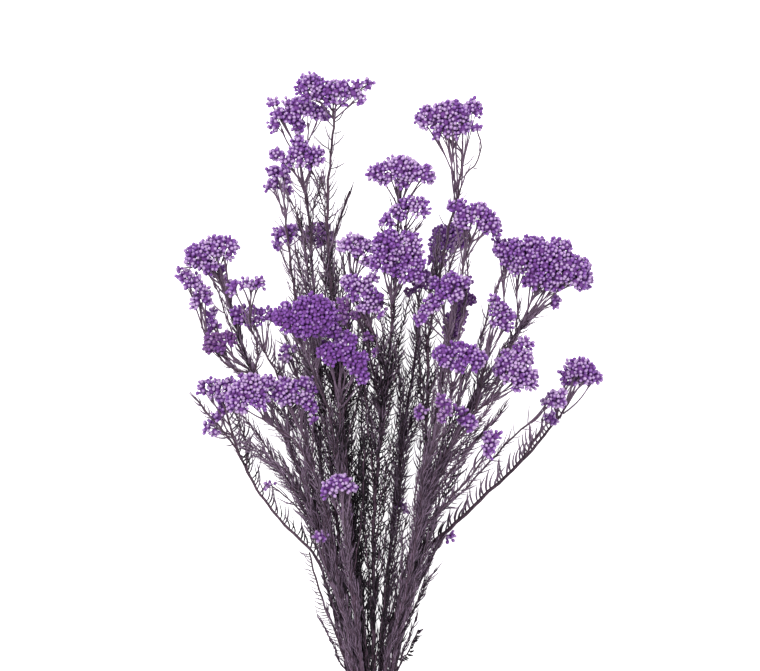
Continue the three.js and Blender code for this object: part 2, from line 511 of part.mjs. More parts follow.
// Raises a facet to a point
function raise({ points, triangles }, [a, b, c], tip) {
  points.push(tip);
  const apex = points.length - 1;
  triangles.push(a, b, apex, b, c, apex, c, a, apex);
}

function growNeedle(skin, { corners, outward, forward }) {
  const tip = fitNeedle(skin.owner, middleOfFacet(skin, corners), outward, forward);
  if (tip) raise(skin, corners, tip);
  return Boolean(tip);
}

// A pedicel fans out from the neck at the widest angle that still meets its flower head
function growPedicel(skin, { corners, outward, forward }, headName) {
  const root = middleOfFacet(skin, corners);
  for (const degrees of PEDICEL_ANGLES) {
    const angle = THREE.MathUtils.degToRad(degrees);
    const direction = outward.clone().multiplyScalar(Math.sin(angle))
      .addScaledVector(forward, Math.cos(angle));
    const end = pedicelEnd(root, direction.normalize(), headSolids.get(headName));
    if (end) {
      raise(skin, corners, end);
      return true;
    }
  }
  return false;
}

// Where a pedicel that leaves its root in a direction stops, just short of the buds
function pedicelEnd(root, direction, headSolid) {
  const { vertProperties, triVerts } = headSolid.getMesh();
  const corner = (index) => new THREE.Vector3().fromArray(vertProperties, 3 * index);
  const ray = new THREE.Ray(root, direction);
  let nearest = Infinity;
  const hit = new THREE.Vector3();
  for (let i = 0; i < triVerts.length; i += 3) {
    const facet = [corner(triVerts[i]), corner(triVerts[i + 1]), corner(triVerts[i + 2])];
    if (ray.intersectTriangle(...facet, true, hit) === null) continue;
    const normal = new THREE.Triangle(...facet).getNormal(new THREE.Vector3());
    const facing = Math.max(-normal.dot(ray.direction), STEEPEST_FACING);
    nearest = Math.min(nearest, hit.distanceTo(root) - GAP / facing);
  }
  return nearest < Infinity ? ray.at(nearest, new THREE.Vector3()) : null;
}

// The band: a ring of rounded oblong outline, flat underneath
function bandRing() {
  const halfWidth = ((COLUMNS - 1) / 2) * COLUMN_PITCH + STEM_RADIUS + BAND_SLACK;
  const halfHeight = ((ROWS - 1) / 2) * ROW_PITCH + STEM_RADIUS + BAND_SLACK;
  const corner = STEM_RADIUS + BAND_SLACK;
  const outline = (grow) => {
    const points = [];
    for (const [right, top, first] of [[1, 1, 0], [-1, 1, 1], [-1, -1, 2], [1, -1, 3]]) {
      for (let step = 0; step <= BAND_CORNER_STEPS; step += 1) {
        const angle = (first + step / BAND_CORNER_STEPS) * (Math.PI / 2);
        points.push(new THREE.Vector2(right * (halfWidth - corner) + (corner + grow) * Math.cos(angle),
          top * (halfHeight - corner) + (corner + grow) * Math.sin(angle)));
      }
    }
    return points;
  };
  const section = new THREE.Shape(outline(BAND_WALL));
  section.holes.push(new THREE.Path(outline(0).reverse()));
  const geometry = new THREE.ExtrudeGeometry(section, { depth: BAND_WIDTH, bevelEnabled: false });
  geometry.translate(0, halfHeight + BAND_WALL, -BAND_WIDTH / 2);
  geometry.rotateX(Math.PI / 2);
  return solidFromGeometry(geometry);
}

// A branch or stem that ends below a flower head turns straight towards it
function neckWaypoints(headName) {
  const head = FLOWER_HEADS[headName];
  const neck = vector(head.neck);
  const middle = new THREE.Vector3();
  for (const lobe of head.lobes) middle.addScaledVector(middleOf(lobe), 1 / head.lobes.length);
  const before = neck.clone().addScaledVector(middle.sub(neck).normalize(), -NECK_LENGTH);
  return [before.toArray(), head.neck];
}

const slotOf = ({ row, column }) =>
  [(column - (COLUMNS - 1) / 2) * COLUMN_PITCH, FIRST_ROW + row * ROW_PITCH];

// The whole course of a stem: cut end, band, then its own path up to its head's neck or its tip
function stemWaypoints(stem) {
  const [x, z] = slotOf(stem);
  const middle = FIRST_ROW + ((ROWS - 1) / 2) * ROW_PITCH;
  const cutEnd = [x * CUT_END_SPLAY, -CUT_END + drawBetween(-CUT_END_SPREAD / 2, CUT_END_SPREAD / 2),
    middle + (z - middle) * CUT_END_SPLAY];
  const end = stem.head ? neckWaypoints(stem.head) : [stem.tip];
  return [cutEnd, [x, -BAND_WIDTH, z], [x, BAND_WIDTH, z], ...stem.path, ...end];
}

const headSolids = new Map(Object.entries(FLOWER_HEADS).map(([name, head]) => [name, flowerHead(head)]));

// A stem with its forks. Their courses and pedicels are placed before any needle grows.
function stemPlan(stem, number) {
  const owner = `leafy_stem_${String(number + 1).padStart(2, "0")}`;
  const forks = stem.forks.map((fork) => {
    const end = fork.head ? neckWaypoints(fork.head) : [fork.buds || fork.tip];
    const path = course([stem.path[fork.at], ...fork.via, ...end]);
    return { path, isStem: false, forkPoints: [], ends: fork };
  });
  const forkPoints = stem.forks.map((fork) => stem.path[fork.at]);
  const tubes = [{ path: course(stemWaypoints(stem)), isStem: true, forkPoints, ends: stem }, ...forks];
  for (const { path, isStem, ends } of tubes) {
    placeCourse(owner, path, isStem ? STEM_RADIUS : BRANCH_RADIUS);
    if (!ends.head) continue;
    const { neck, lobes } = FLOWER_HEADS[ends.head];
    for (const lobe of lobes) placeStretch(owner, vector(neck), middleOf(lobe), PEDICEL_RADIUS);
  }
  return { owner, tubes };
}

function leafyStem({ owner, tubes }) {
  const budEnds = tubes.filter(({ ends }) => ends.buds).map(({ ends }) => ends.buds);
  const tufts = budEnds.map((place) => lobeOfBuds([...place, ...BUD_TUFT], 0));
  return mainBody(wasm.Manifold.union([...tubes.map((tube) => leafyTube(owner, tube)), ...tufts]));
}

const bunch = new THREE.Group();
bunch.name = "rice_flower_bunch";
bunch.add(meshFrom("tie_band", bandRing(), BAND_MATERIAL));
for (const plan of LEAFY_STEMS.map(stemPlan)) bunch.add(meshFrom(plan.owner, leafyStem(plan), STEM_MATERIAL));
for (const [name, solid] of headSolids) bunch.add(meshFrom(name, solid, BUD_MATERIAL));

// The origin is under the middle of the bunch, on the surface that it lies on
const extent = new THREE.Box3().setFromObject(bunch);
bunch.position.set(-(extent.min.x + extent.max.x) / 2, -(extent.min.y + extent.max.y) / 2, 0);
bunch.updateMatrixWorld(true);

export default bunch;
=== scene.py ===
"""Looks of a lying bunch of dried, dyed rice flower: leafy stems, heads of small buds and a rubber band."""
import math

import bpy
import numpy as np
from bpy.props import FloatProperty, FloatVectorProperty, PointerProperty
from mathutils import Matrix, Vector


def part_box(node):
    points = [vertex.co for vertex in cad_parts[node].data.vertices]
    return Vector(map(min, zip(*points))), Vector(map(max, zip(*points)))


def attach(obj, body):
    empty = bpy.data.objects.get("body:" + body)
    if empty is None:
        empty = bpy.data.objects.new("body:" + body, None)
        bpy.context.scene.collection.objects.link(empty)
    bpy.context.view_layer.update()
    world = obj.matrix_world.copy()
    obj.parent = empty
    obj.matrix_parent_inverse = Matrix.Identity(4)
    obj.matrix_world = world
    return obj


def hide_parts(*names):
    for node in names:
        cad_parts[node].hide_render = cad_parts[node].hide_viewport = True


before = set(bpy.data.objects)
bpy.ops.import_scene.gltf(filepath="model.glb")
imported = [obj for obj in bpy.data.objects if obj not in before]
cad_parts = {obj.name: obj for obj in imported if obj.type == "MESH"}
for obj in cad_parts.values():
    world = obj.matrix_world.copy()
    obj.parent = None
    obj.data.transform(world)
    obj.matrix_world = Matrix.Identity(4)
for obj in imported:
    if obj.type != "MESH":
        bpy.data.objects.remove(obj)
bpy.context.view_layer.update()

bl_info = {
    "name": "Rice Flower Bunch",
    "version": (1, 0, 0),
    "blender": (4, 5, 0),
    "location": "3D Viewport > Sidebar > Rice flower",
    "description": "Dresses a packed bunch of dried rice flower: stems, needle leaves, buds and band",
    "category": "Object",
}

# The frame, and the place that the layout below is measured from: under the middle of the band
BAND_LOW, BAND_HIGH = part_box("tie_band")
LAYOUT_ORIGIN = np.array([(BAND_LOW.x + BAND_HIGH.x) / 2, (BAND_LOW.y + BAND_HIGH.y) / 2, 0.0])
MM = 0.001
SEED = 4127
GOLDEN_TURN = math.pi * (3 - math.sqrt(5))
UP = np.array([0.0, 0.0, 1.0])


def flower_head(neck, *lobes):
    """The place where a head's pedicels part, and its lobes: the centre of each and half its size."""
    return {"neck": np.array(neck, float), "lobes": np.array(lobes, float)}


def branch(root, *via, **details):
    """A fork or a twig: where it leaves its stem, where it passes, and then its end and how it is leafed."""
    return dict(details, root=root, via=via)


# Flower heads, in millimetres of the layout. Each lobe is its centre and then half its width, height and
# depth. A head leans from its neck towards its first lobe.
FLOWER_HEADS = {
    1: flower_head((-31, 473, 88), (-29, 486, 95, 12, 9, 12), (-47, 489, 95, 12.5, 10, 12),
        (-41, 481, 92, 10, 5.5, 7), (-52, 483, 95, 6, 6, 7), (-16, 488, 94, 8, 8, 8),
        (-5, 491, 93, 5, 5, 5), (-12, 481, 93, 5, 6, 5), (-30, 478, 94, 8, 5, 7)),
    2: flower_head((-55, 450, 60), (-56, 471, 68, 14, 12, 12), (-71, 465, 67, 9.5, 10, 9),
        (-41, 468, 68, 9, 9, 9), (-76, 477, 67, 6, 4.5, 6), (-64, 478, 68, 6, 5, 6),
        (-58, 461, 68, 6, 6, 7)),
    3: flower_head((-55, 420, 76), (-55.5, 436, 88, 10.5, 12, 11), (-57, 447, 88, 6, 6.5, 8),
        (-44, 438, 88, 7, 7, 7), (-67, 435, 87, 7, 6, 7), (-74, 439, 87, 5, 5, 6), (-49, 432, 86, 4, 5, 5)),
    4: flower_head((-69, 404, 13), (-72, 424, 6.5, 10, 10, 9), (-79, 416, 6, 7, 6, 7),
        (-67, 416, 7, 5, 6, 6)),
    5: flower_head((-65, 360, 9), (-67, 380, 8, 10, 9.5, 8), (-63, 378, 8, 6, 10, 7),
        (-73, 370, 8, 5, 8, 6)),
    6: flower_head((-41, 366, 8), (-46, 380, 8, 12, 8, 8), (-37, 375, 8, 8, 6, 6)),
    7: flower_head((64, 443, 83), (56, 468, 88, 13, 11, 13), (39, 466, 88, 9, 9, 9),
        (72, 472, 88, 9, 7.5, 8), (66, 458, 88, 9, 9, 8), (50, 456, 88, 8, 6, 6)),
    8: flower_head((19, 407, 108), (19, 427.5, 125, 15, 10, 14), (4, 423, 125, 10, 9, 10),
        (35, 421.5, 125, 10, 9.5, 10), (20, 417, 122, 6, 5, 6)),
    9: flower_head((22, 385, 103), (31, 398, 114, 11, 8, 9), (18, 396, 114, 8, 7, 8),
        (9, 389, 114, 5.5, 6.5, 6)),
    10: flower_head((71, 378, 92), (77, 392, 98, 11, 11, 11), (65, 395, 98, 9, 10, 9),
        (86, 385, 98, 9, 10, 10), (57, 401, 98, 4, 4, 4), (66, 386, 97, 5, 6, 6)),
    11: flower_head((47, 353, 9), (52, 377, 14, 11, 10, 12), (62, 377, 14, 9, 13, 10),
        (47, 363, 10, 7, 8, 7)),
    12: flower_head((121, 328, 68), (129, 357, 78, 18, 17, 19), (102, 366, 78, 14, 11, 12),
        (150, 348, 78, 13, 15, 15), (118, 368, 78, 13, 10, 13), (122, 344, 78, 12, 10, 12),
        (140, 368, 78, 11, 9, 10), (106, 355, 76, 8, 7, 8), (93, 373, 77, 5, 5, 5),
        (136, 343, 77, 7, 7, 8)),
    13: flower_head((-18, 353, 99), (-20, 368, 110, 9, 10, 9), (-8, 366, 110, 8.5, 12.5, 9),
        (-13, 374, 109, 7, 5, 7)),
    14: flower_head((12, 336, 108), (10, 370, 124, 13, 12, 12), (7, 356, 123, 12, 11, 10),
        (26, 371, 124, 10, 10, 10), (26, 352, 122, 11, 16, 9)),
    15: flower_head((-9, 322, 98), (-16, 339, 107, 10.5, 10, 9), (-1, 330, 106, 8, 11, 8),
        (-4, 344, 106, 8, 6, 6), (-6, 325, 105, 7, 5, 7), (3, 322, 104, 5, 6, 5)),
    16: flower_head((33, 334, 36), (34, 348, 44, 9, 8, 8)),
    17: flower_head((53, 314, 102), (52, 332, 112, 10, 9, 8), (60, 342, 112, 11, 8.5, 9),
        (48, 341, 112, 8, 8, 8), (41, 323, 111, 8, 6, 7), (34, 317, 110, 6, 5, 6)),
    18: flower_head((57, 291, 57), (58, 308, 82, 9, 13, 7), (63, 318, 72, 7, 9, 7), (67, 330, 66, 8, 9, 8),
        (68, 341, 64, 7, 8, 7)),
    19: flower_head((-49, 290, 127), (-46, 318, 150, 18, 16, 18), (-65, 316, 148, 11, 12, 12),
        (-51, 305, 146, 9, 6, 8), (-31, 308, 145, 6, 7, 7)),
    20: flower_head((-25, 263, 122), (-25, 289, 136, 9, 8, 9), (-35, 289, 136, 8.5, 11, 10),
        (-21, 299, 136, 9, 7, 9), (-13, 284, 136, 9, 8.5, 8), (-10, 272, 135, 7, 8, 6)),
    21: flower_head((-118, 350, 65), (-119, 369, 72, 13, 9.5, 12), (-133, 363, 71, 10.5, 11, 10),
        (-108.5, 368, 72, 7, 10, 9), (-124, 355, 71, 7, 6, 7)),
    22: flower_head((-131, 315, 53), (-131, 330, 58, 9.5, 11, 8), (-136, 342, 58, 8, 8, 7),
        (-142, 348, 58, 6.5, 7, 6), (-126, 332, 58, 6, 7, 6)),
    23: flower_head((-111, 328, 50), (-115.5, 345, 56, 7.5, 12, 7)),
    24: flower_head((-94, 328, 88), (-95, 341, 94, 7, 6, 7), (-104, 339, 94, 6, 6, 6),
        (-87, 343, 94, 5, 5, 5)),
    25: flower_head((-121, 297, 46), (-122, 310, 42, 6, 6, 5), (-124, 319, 42, 5, 6, 5)),
    26: flower_head((-106, 285, 57), (-111, 298, 64, 8.5, 9, 6), (-121, 298, 64, 8, 8, 7)),
    27: flower_head((-87, 303, 60), (-90, 317, 66, 9, 9, 7), (-101, 319, 66, 7, 9, 7),
        (-80, 317, 66, 7, 6, 6)),
    28: flower_head((-84, 243, 94), (-94, 266, 106, 11, 10, 12), (-101, 255, 105, 10, 12, 9),
        (-86, 254, 105, 7, 9, 8), (-82, 266, 104, 5, 8, 6)),
    29: flower_head((-114, 249, 20), (-115, 264, 24, 10, 8, 8), (-128, 265, 24, 8, 5.5, 6),
        (-122, 263, 24, 6, 6, 6), (-113, 258, 24, 6, 7, 7)),
    30: flower_head((-110, 229, 9), (-115, 241, 12, 8, 10, 8), (-124, 233, 8, 7, 8, 7),
        (-114, 252, 12, 5, 7, 5)),
    31: flower_head((-61, 245, 80), (-66, 262, 88, 13, 9, 11), (-53, 264, 88, 9, 10, 8),
        (-64, 255, 88, 9, 6, 8), (-79, 270, 87, 5, 4, 5), (-49, 251, 86, 5, 9, 6)),
    32: flower_head((-61, 279, 25), (-65, 290, 30, 8.5, 7, 6)),
    33: flower_head((88, 302, 87), (97.5, 314, 92, 8, 9, 8), (95, 322, 92, 6.5, 8, 7),
        (89, 330, 92, 5, 5, 5), (90, 312, 91, 5, 5, 5)),
    34: flower_head((58, 269, 116), (70, 288, 130, 13, 10, 12), (52, 288, 130, 10, 9, 10),
        (62, 281, 129, 6, 6, 7)),
    35: flower_head((91, 259, 88), (100, 277, 98, 13, 12, 14), (112, 271, 98, 10, 11, 10),
        (110, 287, 97, 9, 9, 9), (112, 298, 96, 7, 6, 6), (101, 290, 96, 6, 6, 6)),
    36: flower_head((148, 256, 12), (155.5, 275, 12, 13, 12.5, 13), (164.5, 273, 11, 8.5, 9.5, 8),
        (148, 267, 12, 5, 6, 6), (144, 274, 12, 6, 6, 6)),
    37: flower_head((125, 245, 58), (137, 257, 62, 8, 8, 7), (131, 254, 61, 6, 6, 6)),
    38: flower_head((126, 232, 18), (133, 241, 22, 5.5, 5, 5)),
    39: flower_head((79, 208, 72), (87, 226, 78, 7.5, 8, 7), (84, 214, 77, 4.5, 4, 4)),
    40: flower_head((51, 234, 105), (52, 246, 112, 6, 8, 6), (52, 254, 112, 6.5, 6, 6)),
    41: flower_head((62, 228, 84), (66, 243, 92, 8, 8, 7), (71, 237, 91, 6, 6, 6)),
    42: flower_head((-24, 173, 90), (-26, 193, 98, 10, 7, 9), (-34, 189, 97, 7, 6, 6),
        (-18, 190, 97, 6, 6, 6)),
    43: flower_head((-40, 143, 46), (-41, 154, 50, 6, 6, 6)),
}

# Leafy stems, row by row and from left to right in the band, in millimetres. The path starts above the band.
# A fork leaves it at one of its points, counted from 0, and ends at a head, in a few buds or in a tip.
LEAFY_STEMS = [
    dict(head=29, path=[(-21, 52, 6), (-34, 104, 7), (-46, 137, 7.5), (-62, 153, 8), (-80, 173, 8),
        (-95, 196, 8), (-104, 216, 9), (-110, 235, 13)], forks=[
        branch(6, head=30),
        branch(6, (-117, 233, 15), (-128, 246, 17), tip=(-137, 257, 17), crowding=0.4, length=0.7),
        branch(0, (-30, 78, 12), (-41, 106, 14), tip=(-50, 139, 14), side=-1, length=0.9, width=0.8,
            tone=1.0, crowding=0.42, curl=0.6, angle=72)]),
    dict(head=4, path=[(-17, 52, 6), (-28, 105, 6.5), (-37, 165, 7), (-44, 225, 8), (-52, 277, 10),
        (-59, 322, 15), (-64, 358, 20), (-67, 386, 21)], forks=[
        branch(5, (-62, 342, 11), head=5),
        branch(3, (-53, 256, 16), head=32),
        branch(2, (-50, 192, 13), tip=(-62, 212, 15))]),
    dict(tip=(-19, 413, 15), path=[(-7, 52, 6), (-14, 105, 6.5), (-20, 165, 7), (-25, 225, 8),
        (-28, 277, 8.5), (-33, 330, 9), (-34, 362, 10), (-28, 388, 12)], forks=[
        branch(5, (-36, 352, 8.5), head=6),
        branch(4, buds=(-23, 312, 22))]),
    dict(head=11, path=[(4, 52, 6), (8, 105, 6.5), (14, 165, 7), (21, 225, 8), (29, 277, 8.5),
        (37, 322, 9)], forks=[
        branch(4, (32, 306, 22), head=16),
        branch(3, buds=(34, 246, 22)),
        branch(2, buds=(21, 174, 22))]),
    dict(head=36, path=[(15, 52, 6), (26, 105, 7), (36, 138, 8), (50, 151, 8.5), (68, 167, 9),
        (81, 180, 9.5), (96, 193.5, 10), (111, 208, 10), (128, 227, 10), (142, 245, 11)], forks=[
        branch(7, head=38),
        branch(3, buds=(57, 152, 14), halves=(5, 3.5, 3.5))]),
    dict(head=21, path=[(-19, 52, 16), (-29, 105, 24), (-40, 150, 30), (-54, 193, 36), (-68, 227, 41),
        (-81, 254, 45), (-91, 274, 49), (-98, 292, 53), (-105, 316, 58)], forks=[
        branch(5, (-103, 276, 44), (-115, 288, 46), head=25, tone=1.0, crowding=1.5, angle=28),
        branch(8, head=23),
        branch(6, (-111, 281, 50), (-124, 297, 52), head=22, crowding=0.3, length=0.7),
        branch(6, (-99, 281, 53), head=26),
        branch(6, (-88, 292, 66), (-93, 312, 82), head=24),
        branch(4, (-66, 252, 46), (-73, 272, 50), (-81, 288, 55), head=27, side=1, crowding=0.62, angle=58,
            curl=0.5, length=1.2, width=1.5, wild=0.4, tone=-0.6)]),
    dict(head=2, path=[(-13, 52, 17), (-22, 105, 25), (-29, 165, 33), (-35, 225, 40), (-41, 277, 46),
        (-45, 322, 51), (-48, 367, 56), (-50, 397, 59), (-53, 416, 61), (-56, 436, 60)], forks=[
        branch(7, head=3),
        branch(5, (-54, 345, 54), tip=(-60, 368, 58))]),
    dict(head=1, path=[(-6, 52, 18), (-12, 105, 28), (-18, 165, 38), (-23, 225, 47), (-28, 277, 55),
        (-32, 322, 62), (-35, 367, 69), (-35.5, 405, 75), (-33.5, 435, 80), (-31, 458, 85)], forks=[
        branch(7, tip=(-41, 422, 84))]),
    dict(head=7, path=[(7, 52, 17), (18, 105, 26), (32, 165, 35), (38, 222, 44), (40, 262, 50),
        (40, 298, 56), (45, 330, 61), (51, 360, 66), (56, 386, 71), (61, 405, 75), (64, 424, 79)], forks=[
        branch(4, head=18),
        branch(6, tip=(47, 378, 68))]),
    dict(head=12, path=[(15, 52, 16), (25, 105, 24), (35, 150, 31), (47, 195, 38), (62, 232, 44),
        (77, 262, 49), (96, 289, 55), (110, 309, 60)], forks=[
        branch(5, (79, 296, 60), (85, 320, 66), (93, 343, 70), tip=(102, 363, 74)),
        branch(7, (122, 322, 60), buds=(135, 329, 60), halves=(7, 4.5, 5))]),
    dict(head=28, path=[(-16, 52, 25), (-25, 105, 38), (-35, 165, 53), (-47, 202, 65), (-61, 225, 76)],
        forks=[
        branch(3, (-51, 223, 71), head=31)]),
    dict(head=19, path=[(-10, 52, 27), (-16, 105, 44), (-22, 165, 65), (-29, 217, 87), (-36, 252, 101),
        (-44, 270, 112)], forks=[
        branch(3, (-26, 242, 103), head=20),
        branch(1, (-20, 140, 66), head=42),
        branch(1, (-22, 136, 52), buds=(-22, 170, 60), halves=(4, 7, 5)),
        branch(0, (-20, 85, 39), (-34, 120, 43), head=43)]),
    dict(head=8, path=[(-1, 52, 27), (-1, 105, 42), (-1, 165, 59), (4, 225, 74), (9, 277, 86),
        (13, 312, 93), (15, 340, 97), (16, 368, 98), (17, 388, 97)], forks=[
        branch(5, head=14),
        branch(4, (-6, 312, 84), (-13, 334, 88), head=13),
        branch(4, (0, 302, 91), head=15),
        branch(7, head=9)]),
    dict(head=10, path=[(8, 52, 26), (22, 105, 40), (34, 165, 55), (43, 222, 68), (50, 268, 78),
        (56, 300, 84), (60, 323, 87), (64, 346, 89)], forks=[
        branch(2, (40, 212, 80), (54, 250, 93), head=34),
        branch(4, (56, 292, 91), head=17),
        branch(2, (37, 205, 82), head=40),
        branch(2, (50, 210, 72), head=41)]),
    dict(head=35, path=[(13, 52, 24), (24, 105, 35), (34, 157, 47), (45, 195, 57), (59, 225, 68),
        (75, 246, 77)], forks=[
        branch(2, (67, 187, 50), (86, 208, 52), (109, 232, 55), head=37, crowding=0.6, length=0.7,
            angle=48),
        branch(5, (82, 280, 84), head=33),
        branch(2, (58, 182, 57), head=39)]),
]

# How a twig like a bottle brush carries its needles, and one that is open like a comb
BRUSH = {"crowding": 1.15, "angle": 76, "curl": 0.68, "length": 1.15}
COMB = {"crowding": 0.8, "angle": 66, "curl": 0.58, "length": 1.15}

# Leafy twigs, which leave a stem at a height of the layout and end in a leafy tip or in a few buds
LEAFY_TWIGS = {
    1: [branch(200, (-99, 226, 13), (-104, 240, 17), tip=(-108, 256, 19))],
    2: [branch(128, (-44, 158, 19), (-52, 175, 21), (-62, 189, 22), (-73, 202, 22), (-82, 213, 21),
            tip=(-97, 221, 20), tone=0.4, **BRUSH),
        branch(130, (-50, 172, 27), (-61, 187, 28), (-72, 200, 28), tip=(-88, 214, 27), tone=0.4, **BRUSH),
        branch(118, (-42, 150, 14), (-58, 172, 15), (-70, 183, 15), buds=(-81, 191, 14), crowding=0.4),
        branch(122, (-56, 176, 32), (-70, 199, 34), (-81, 217, 36), (-90, 231, 40), tip=(-102, 245, 44),
            crowding=0.7, length=1.1),
        branch(138, (-52, 186, 20), (-59, 208, 22), (-65, 221, 23), (-73, 233, 24), tip=(-82, 245, 25),
            tone=0.2, crowding=0.4, length=0.8),
        branch(150, (-46, 178, 24), (-50, 205, 30), tip=(-54, 246, 34), crowding=0.8),
        branch(165, (-50, 200, 17), (-60, 230, 20), tip=(-78, 254, 22), tone=0.2, crowding=0.8, length=1.1),
        branch(215, (-52, 240, 20), (-63, 262, 24), tip=(-74, 280, 26))],
    3: [branch(120, (-12, 150, 20), (-9, 190, 26), tip=(-8, 232, 28), tone=-1.2, **COMB),
        branch(160, (-13, 195, 22), (-10, 240, 28), tip=(-12, 282, 30), tone=-1.2, **COMB),
        branch(235, (-18, 262, 22), (-14, 290, 28), tip=(-12, 316, 30), tone=-0.6),
        branch(250, (-36, 275, 18), tip=(-46, 312, 22))],
    4: [branch(110, (16, 150, 22), (19, 195, 28), tip=(20, 240, 30), tone=0.3, **COMB),
        branch(170, (21, 205, 24), (20, 240, 30), tip=(18, 276, 32), tone=0.3, **COMB),
        branch(210, (34, 240, 14), (44, 268, 18), tip=(54, 300, 22))],
    5: [branch(90, (36, 124, 12), tip=(48, 147, 12), tone=1.0, length=0.7),
        branch(56, (25, 62, 6), (29, 71, 6), tip=(33, 80, 6), tone=-0.3, side=1, crowding=0.5, length=0.4,
            angle=75, curl=0.5),
        branch(100, (40, 155, 22), (50, 180, 28), (60, 200, 32), tip=(70, 218, 32), crowding=0.4,
            tone=0.6)],
    6: [branch(275, (-107, 305, 60), (-114, 325, 62), (-121, 343, 64), (-130, 354, 65),
            buds=(-146, 354, 64), crowding=0.25, length=0.8, halves=(4, 3, 4)),
        branch(258, (-97, 286, 55), (-103, 304, 59), tip=(-109, 328, 63), tone=-1.2, crowding=1.6, angle=30,
            curl=0.2, length=0.9),
        branch(195, (-62, 214, 50), (-66, 238, 58), tip=(-70, 262, 60)),
        branch(150, (-48, 172, 44), (-52, 204, 54), tip=(-52, 236, 60))],
    7: [branch(330, (-50, 350, 62), tip=(-53, 377, 66)),
        branch(365, (-56, 385, 62), (-60, 398, 63), tip=(-66, 408, 64), crowding=0.3, length=1.3),
        branch(375, (-46, 398, 66), tip=(-41, 418, 68), crowding=0.35, length=1.3),
        branch(300, (-38, 322, 62), (-37, 345, 68), tip=(-33, 372, 72)),
        branch(250, (-50, 278, 40), (-60, 300, 42), tip=(-67, 322, 44)),
        branch(340, (-52, 362, 60), tip=(-57, 392, 62))],
    8: [branch(300, (-25, 325, 72), (-23, 345, 78), tip=(-24, 364, 80), crowding=0.6),
        branch(385, (-40, 405, 76), (-43, 418, 78), tip=(-48, 428, 80), crowding=0.3, length=1.3),
        branch(270, (-22, 295, 66), tip=(-18, 332, 74), tone=-0.8),
        branch(240, (-16, 270, 62), (-9, 292, 70), tip=(-6, 318, 74), tone=-0.7)],
    9: [branch(285, (37, 316, 60), buds=(30, 338, 66), halves=(9, 5, 5), dust=0.6, tone=-0.6),
        branch(235, (36, 262, 56), (33, 290, 60), tip=(29, 326, 64), tone=-0.5),
        branch(405, (68, 424, 82), (75, 431, 84), (79, 444, 86), buds=(76, 459, 88), crowding=0.12,
            length=0.6),
        branch(330, (54, 350, 74), tip=(64, 376, 80))],
    10: [branch(92, (34, 116, 22), (43, 134, 24), tip=(53, 152, 24), tone=0.8, crowding=0.55, length=0.55),
        branch(278, (98, 293, 56), (110, 309, 61), tip=(123, 322, 66), tone=-0.3, crowding=1.1, angle=36),
        branch(232, (74, 250, 54), (80, 272, 62), tip=(84, 296, 66), tone=-0.3),
        branch(285, (104, 300, 68), tip=(108, 326, 72)),
        branch(205, (62, 212, 48), (80, 228, 52), tip=(98, 250, 54))],
    11: [branch(200, (-47, 220, 76), buds=(-46, 240, 84), halves=(3.5, 3.5, 3.5))],
    12: [branch(120, (-12, 150, 62), (-9, 185, 76), tip=(-8, 222, 84), tone=-1.3, **COMB),
        branch(200, (-19, 232, 90), (-12, 258, 94), tip=(-8, 284, 96), tone=-1.2)],
    13: [branch(90, (-5, 125, 54), (-8, 165, 66), tip=(-9, 206, 74), tone=-1.4),
        branch(180, (-3, 215, 78), (-7, 250, 86), tip=(-6, 290, 90), tone=-1.0),
        branch(235, (11, 275, 90), (18, 302, 95), tip=(26, 332, 97), tone=-0.4, crowding=0.5, length=0.8),
        branch(348, (24, 372, 98), tip=(34, 387, 100), tone=-0.5, length=0.8),
        branch(344, (9, 366, 100), tip=(5, 384, 104), tone=-0.5, length=0.8),
        branch(225, (2, 262, 84), (-6, 295, 84), tip=(-14, 328, 84), tone=-0.4),
        branch(205, (-6, 255, 84), (-15, 290, 87), buds=(-23, 321, 90), tone=-0.5, dust=0.7,
            halves=(5, 11, 5)),
        branch(240, (0, 272, 86), (-7, 298, 89), buds=(-13, 319, 90), tone=-0.5, dust=0.6,
            halves=(4, 5, 4)),
        branch(262, (7, 292, 90), buds=(3, 325, 92), tone=-0.5, dust=0.5, halves=(5, 10, 5)),
        branch(228, (2, 258, 86), buds=(-6, 302, 92), tone=-0.4, dust=0.5, halves=(3.5, 5, 4)),
        branch(238, (5, 266, 88), buds=(2, 292, 94), tone=-0.3, dust=0.3, halves=(5, 5, 5))],
    14: [branch(150, (30, 185, 70), (40, 222, 82), tip=(44, 262, 88)),
        branch(226, (35, 237, 82), buds=(34, 247, 88), halves=(6, 6.5, 5)),
        branch(262, (54, 282, 88), (62, 300, 92), tip=(68, 326, 94)),
        branch(285, (63, 310, 82), (68, 336, 85), tip=(70, 360, 87), crowding=0.6)],
    15: [branch(195, (60, 215, 70), (72, 230, 76), tip=(84, 248, 78)),
        branch(165, (50, 190, 60), (62, 208, 66), (75, 224, 70), tip=(88, 240, 72)),
        branch(160, (46, 205, 66), (51, 224, 72), (58, 244, 78), tip=(73, 280, 84), tone=0.1, crowding=1.4,
            angle=32),
        branch(200, (56, 230, 70), (62, 250, 74), tip=(67, 278, 76), tone=-0.6, crowding=1.0),
        branch(225, (74, 236, 80), (86, 250, 86), tip=(96, 268, 88))],
}

# Heads whose buds are paler or darker than most, from -1 to 1
HEAD_TONES = {3: 0.1, 8: 0.1, 12: -0.1, 13: 0.45, 14: -0.2, 15: 0.1, 18: -0.8, 16: -0.7, 19: -0.9,
              20: -0.6, 24: 0.1, 26: -0.5, 28: 0.1, 35: 0.3, 37: 0.35, 27: -0.5, 11: -0.3, 39: 0.2,
              42: 0.35, 22: 0.2, 32: 0.3, 5: -0.2, 34: -0.3}
# Heads under others: dull, half dried buds, partly painted shade from the heads above, as a share
HEAD_DUST_AND_SHADE = {26: 0.7, 18: 0.35, 6: 0.5, 16: 0.3, 40: 0.4, 43: 0.2}
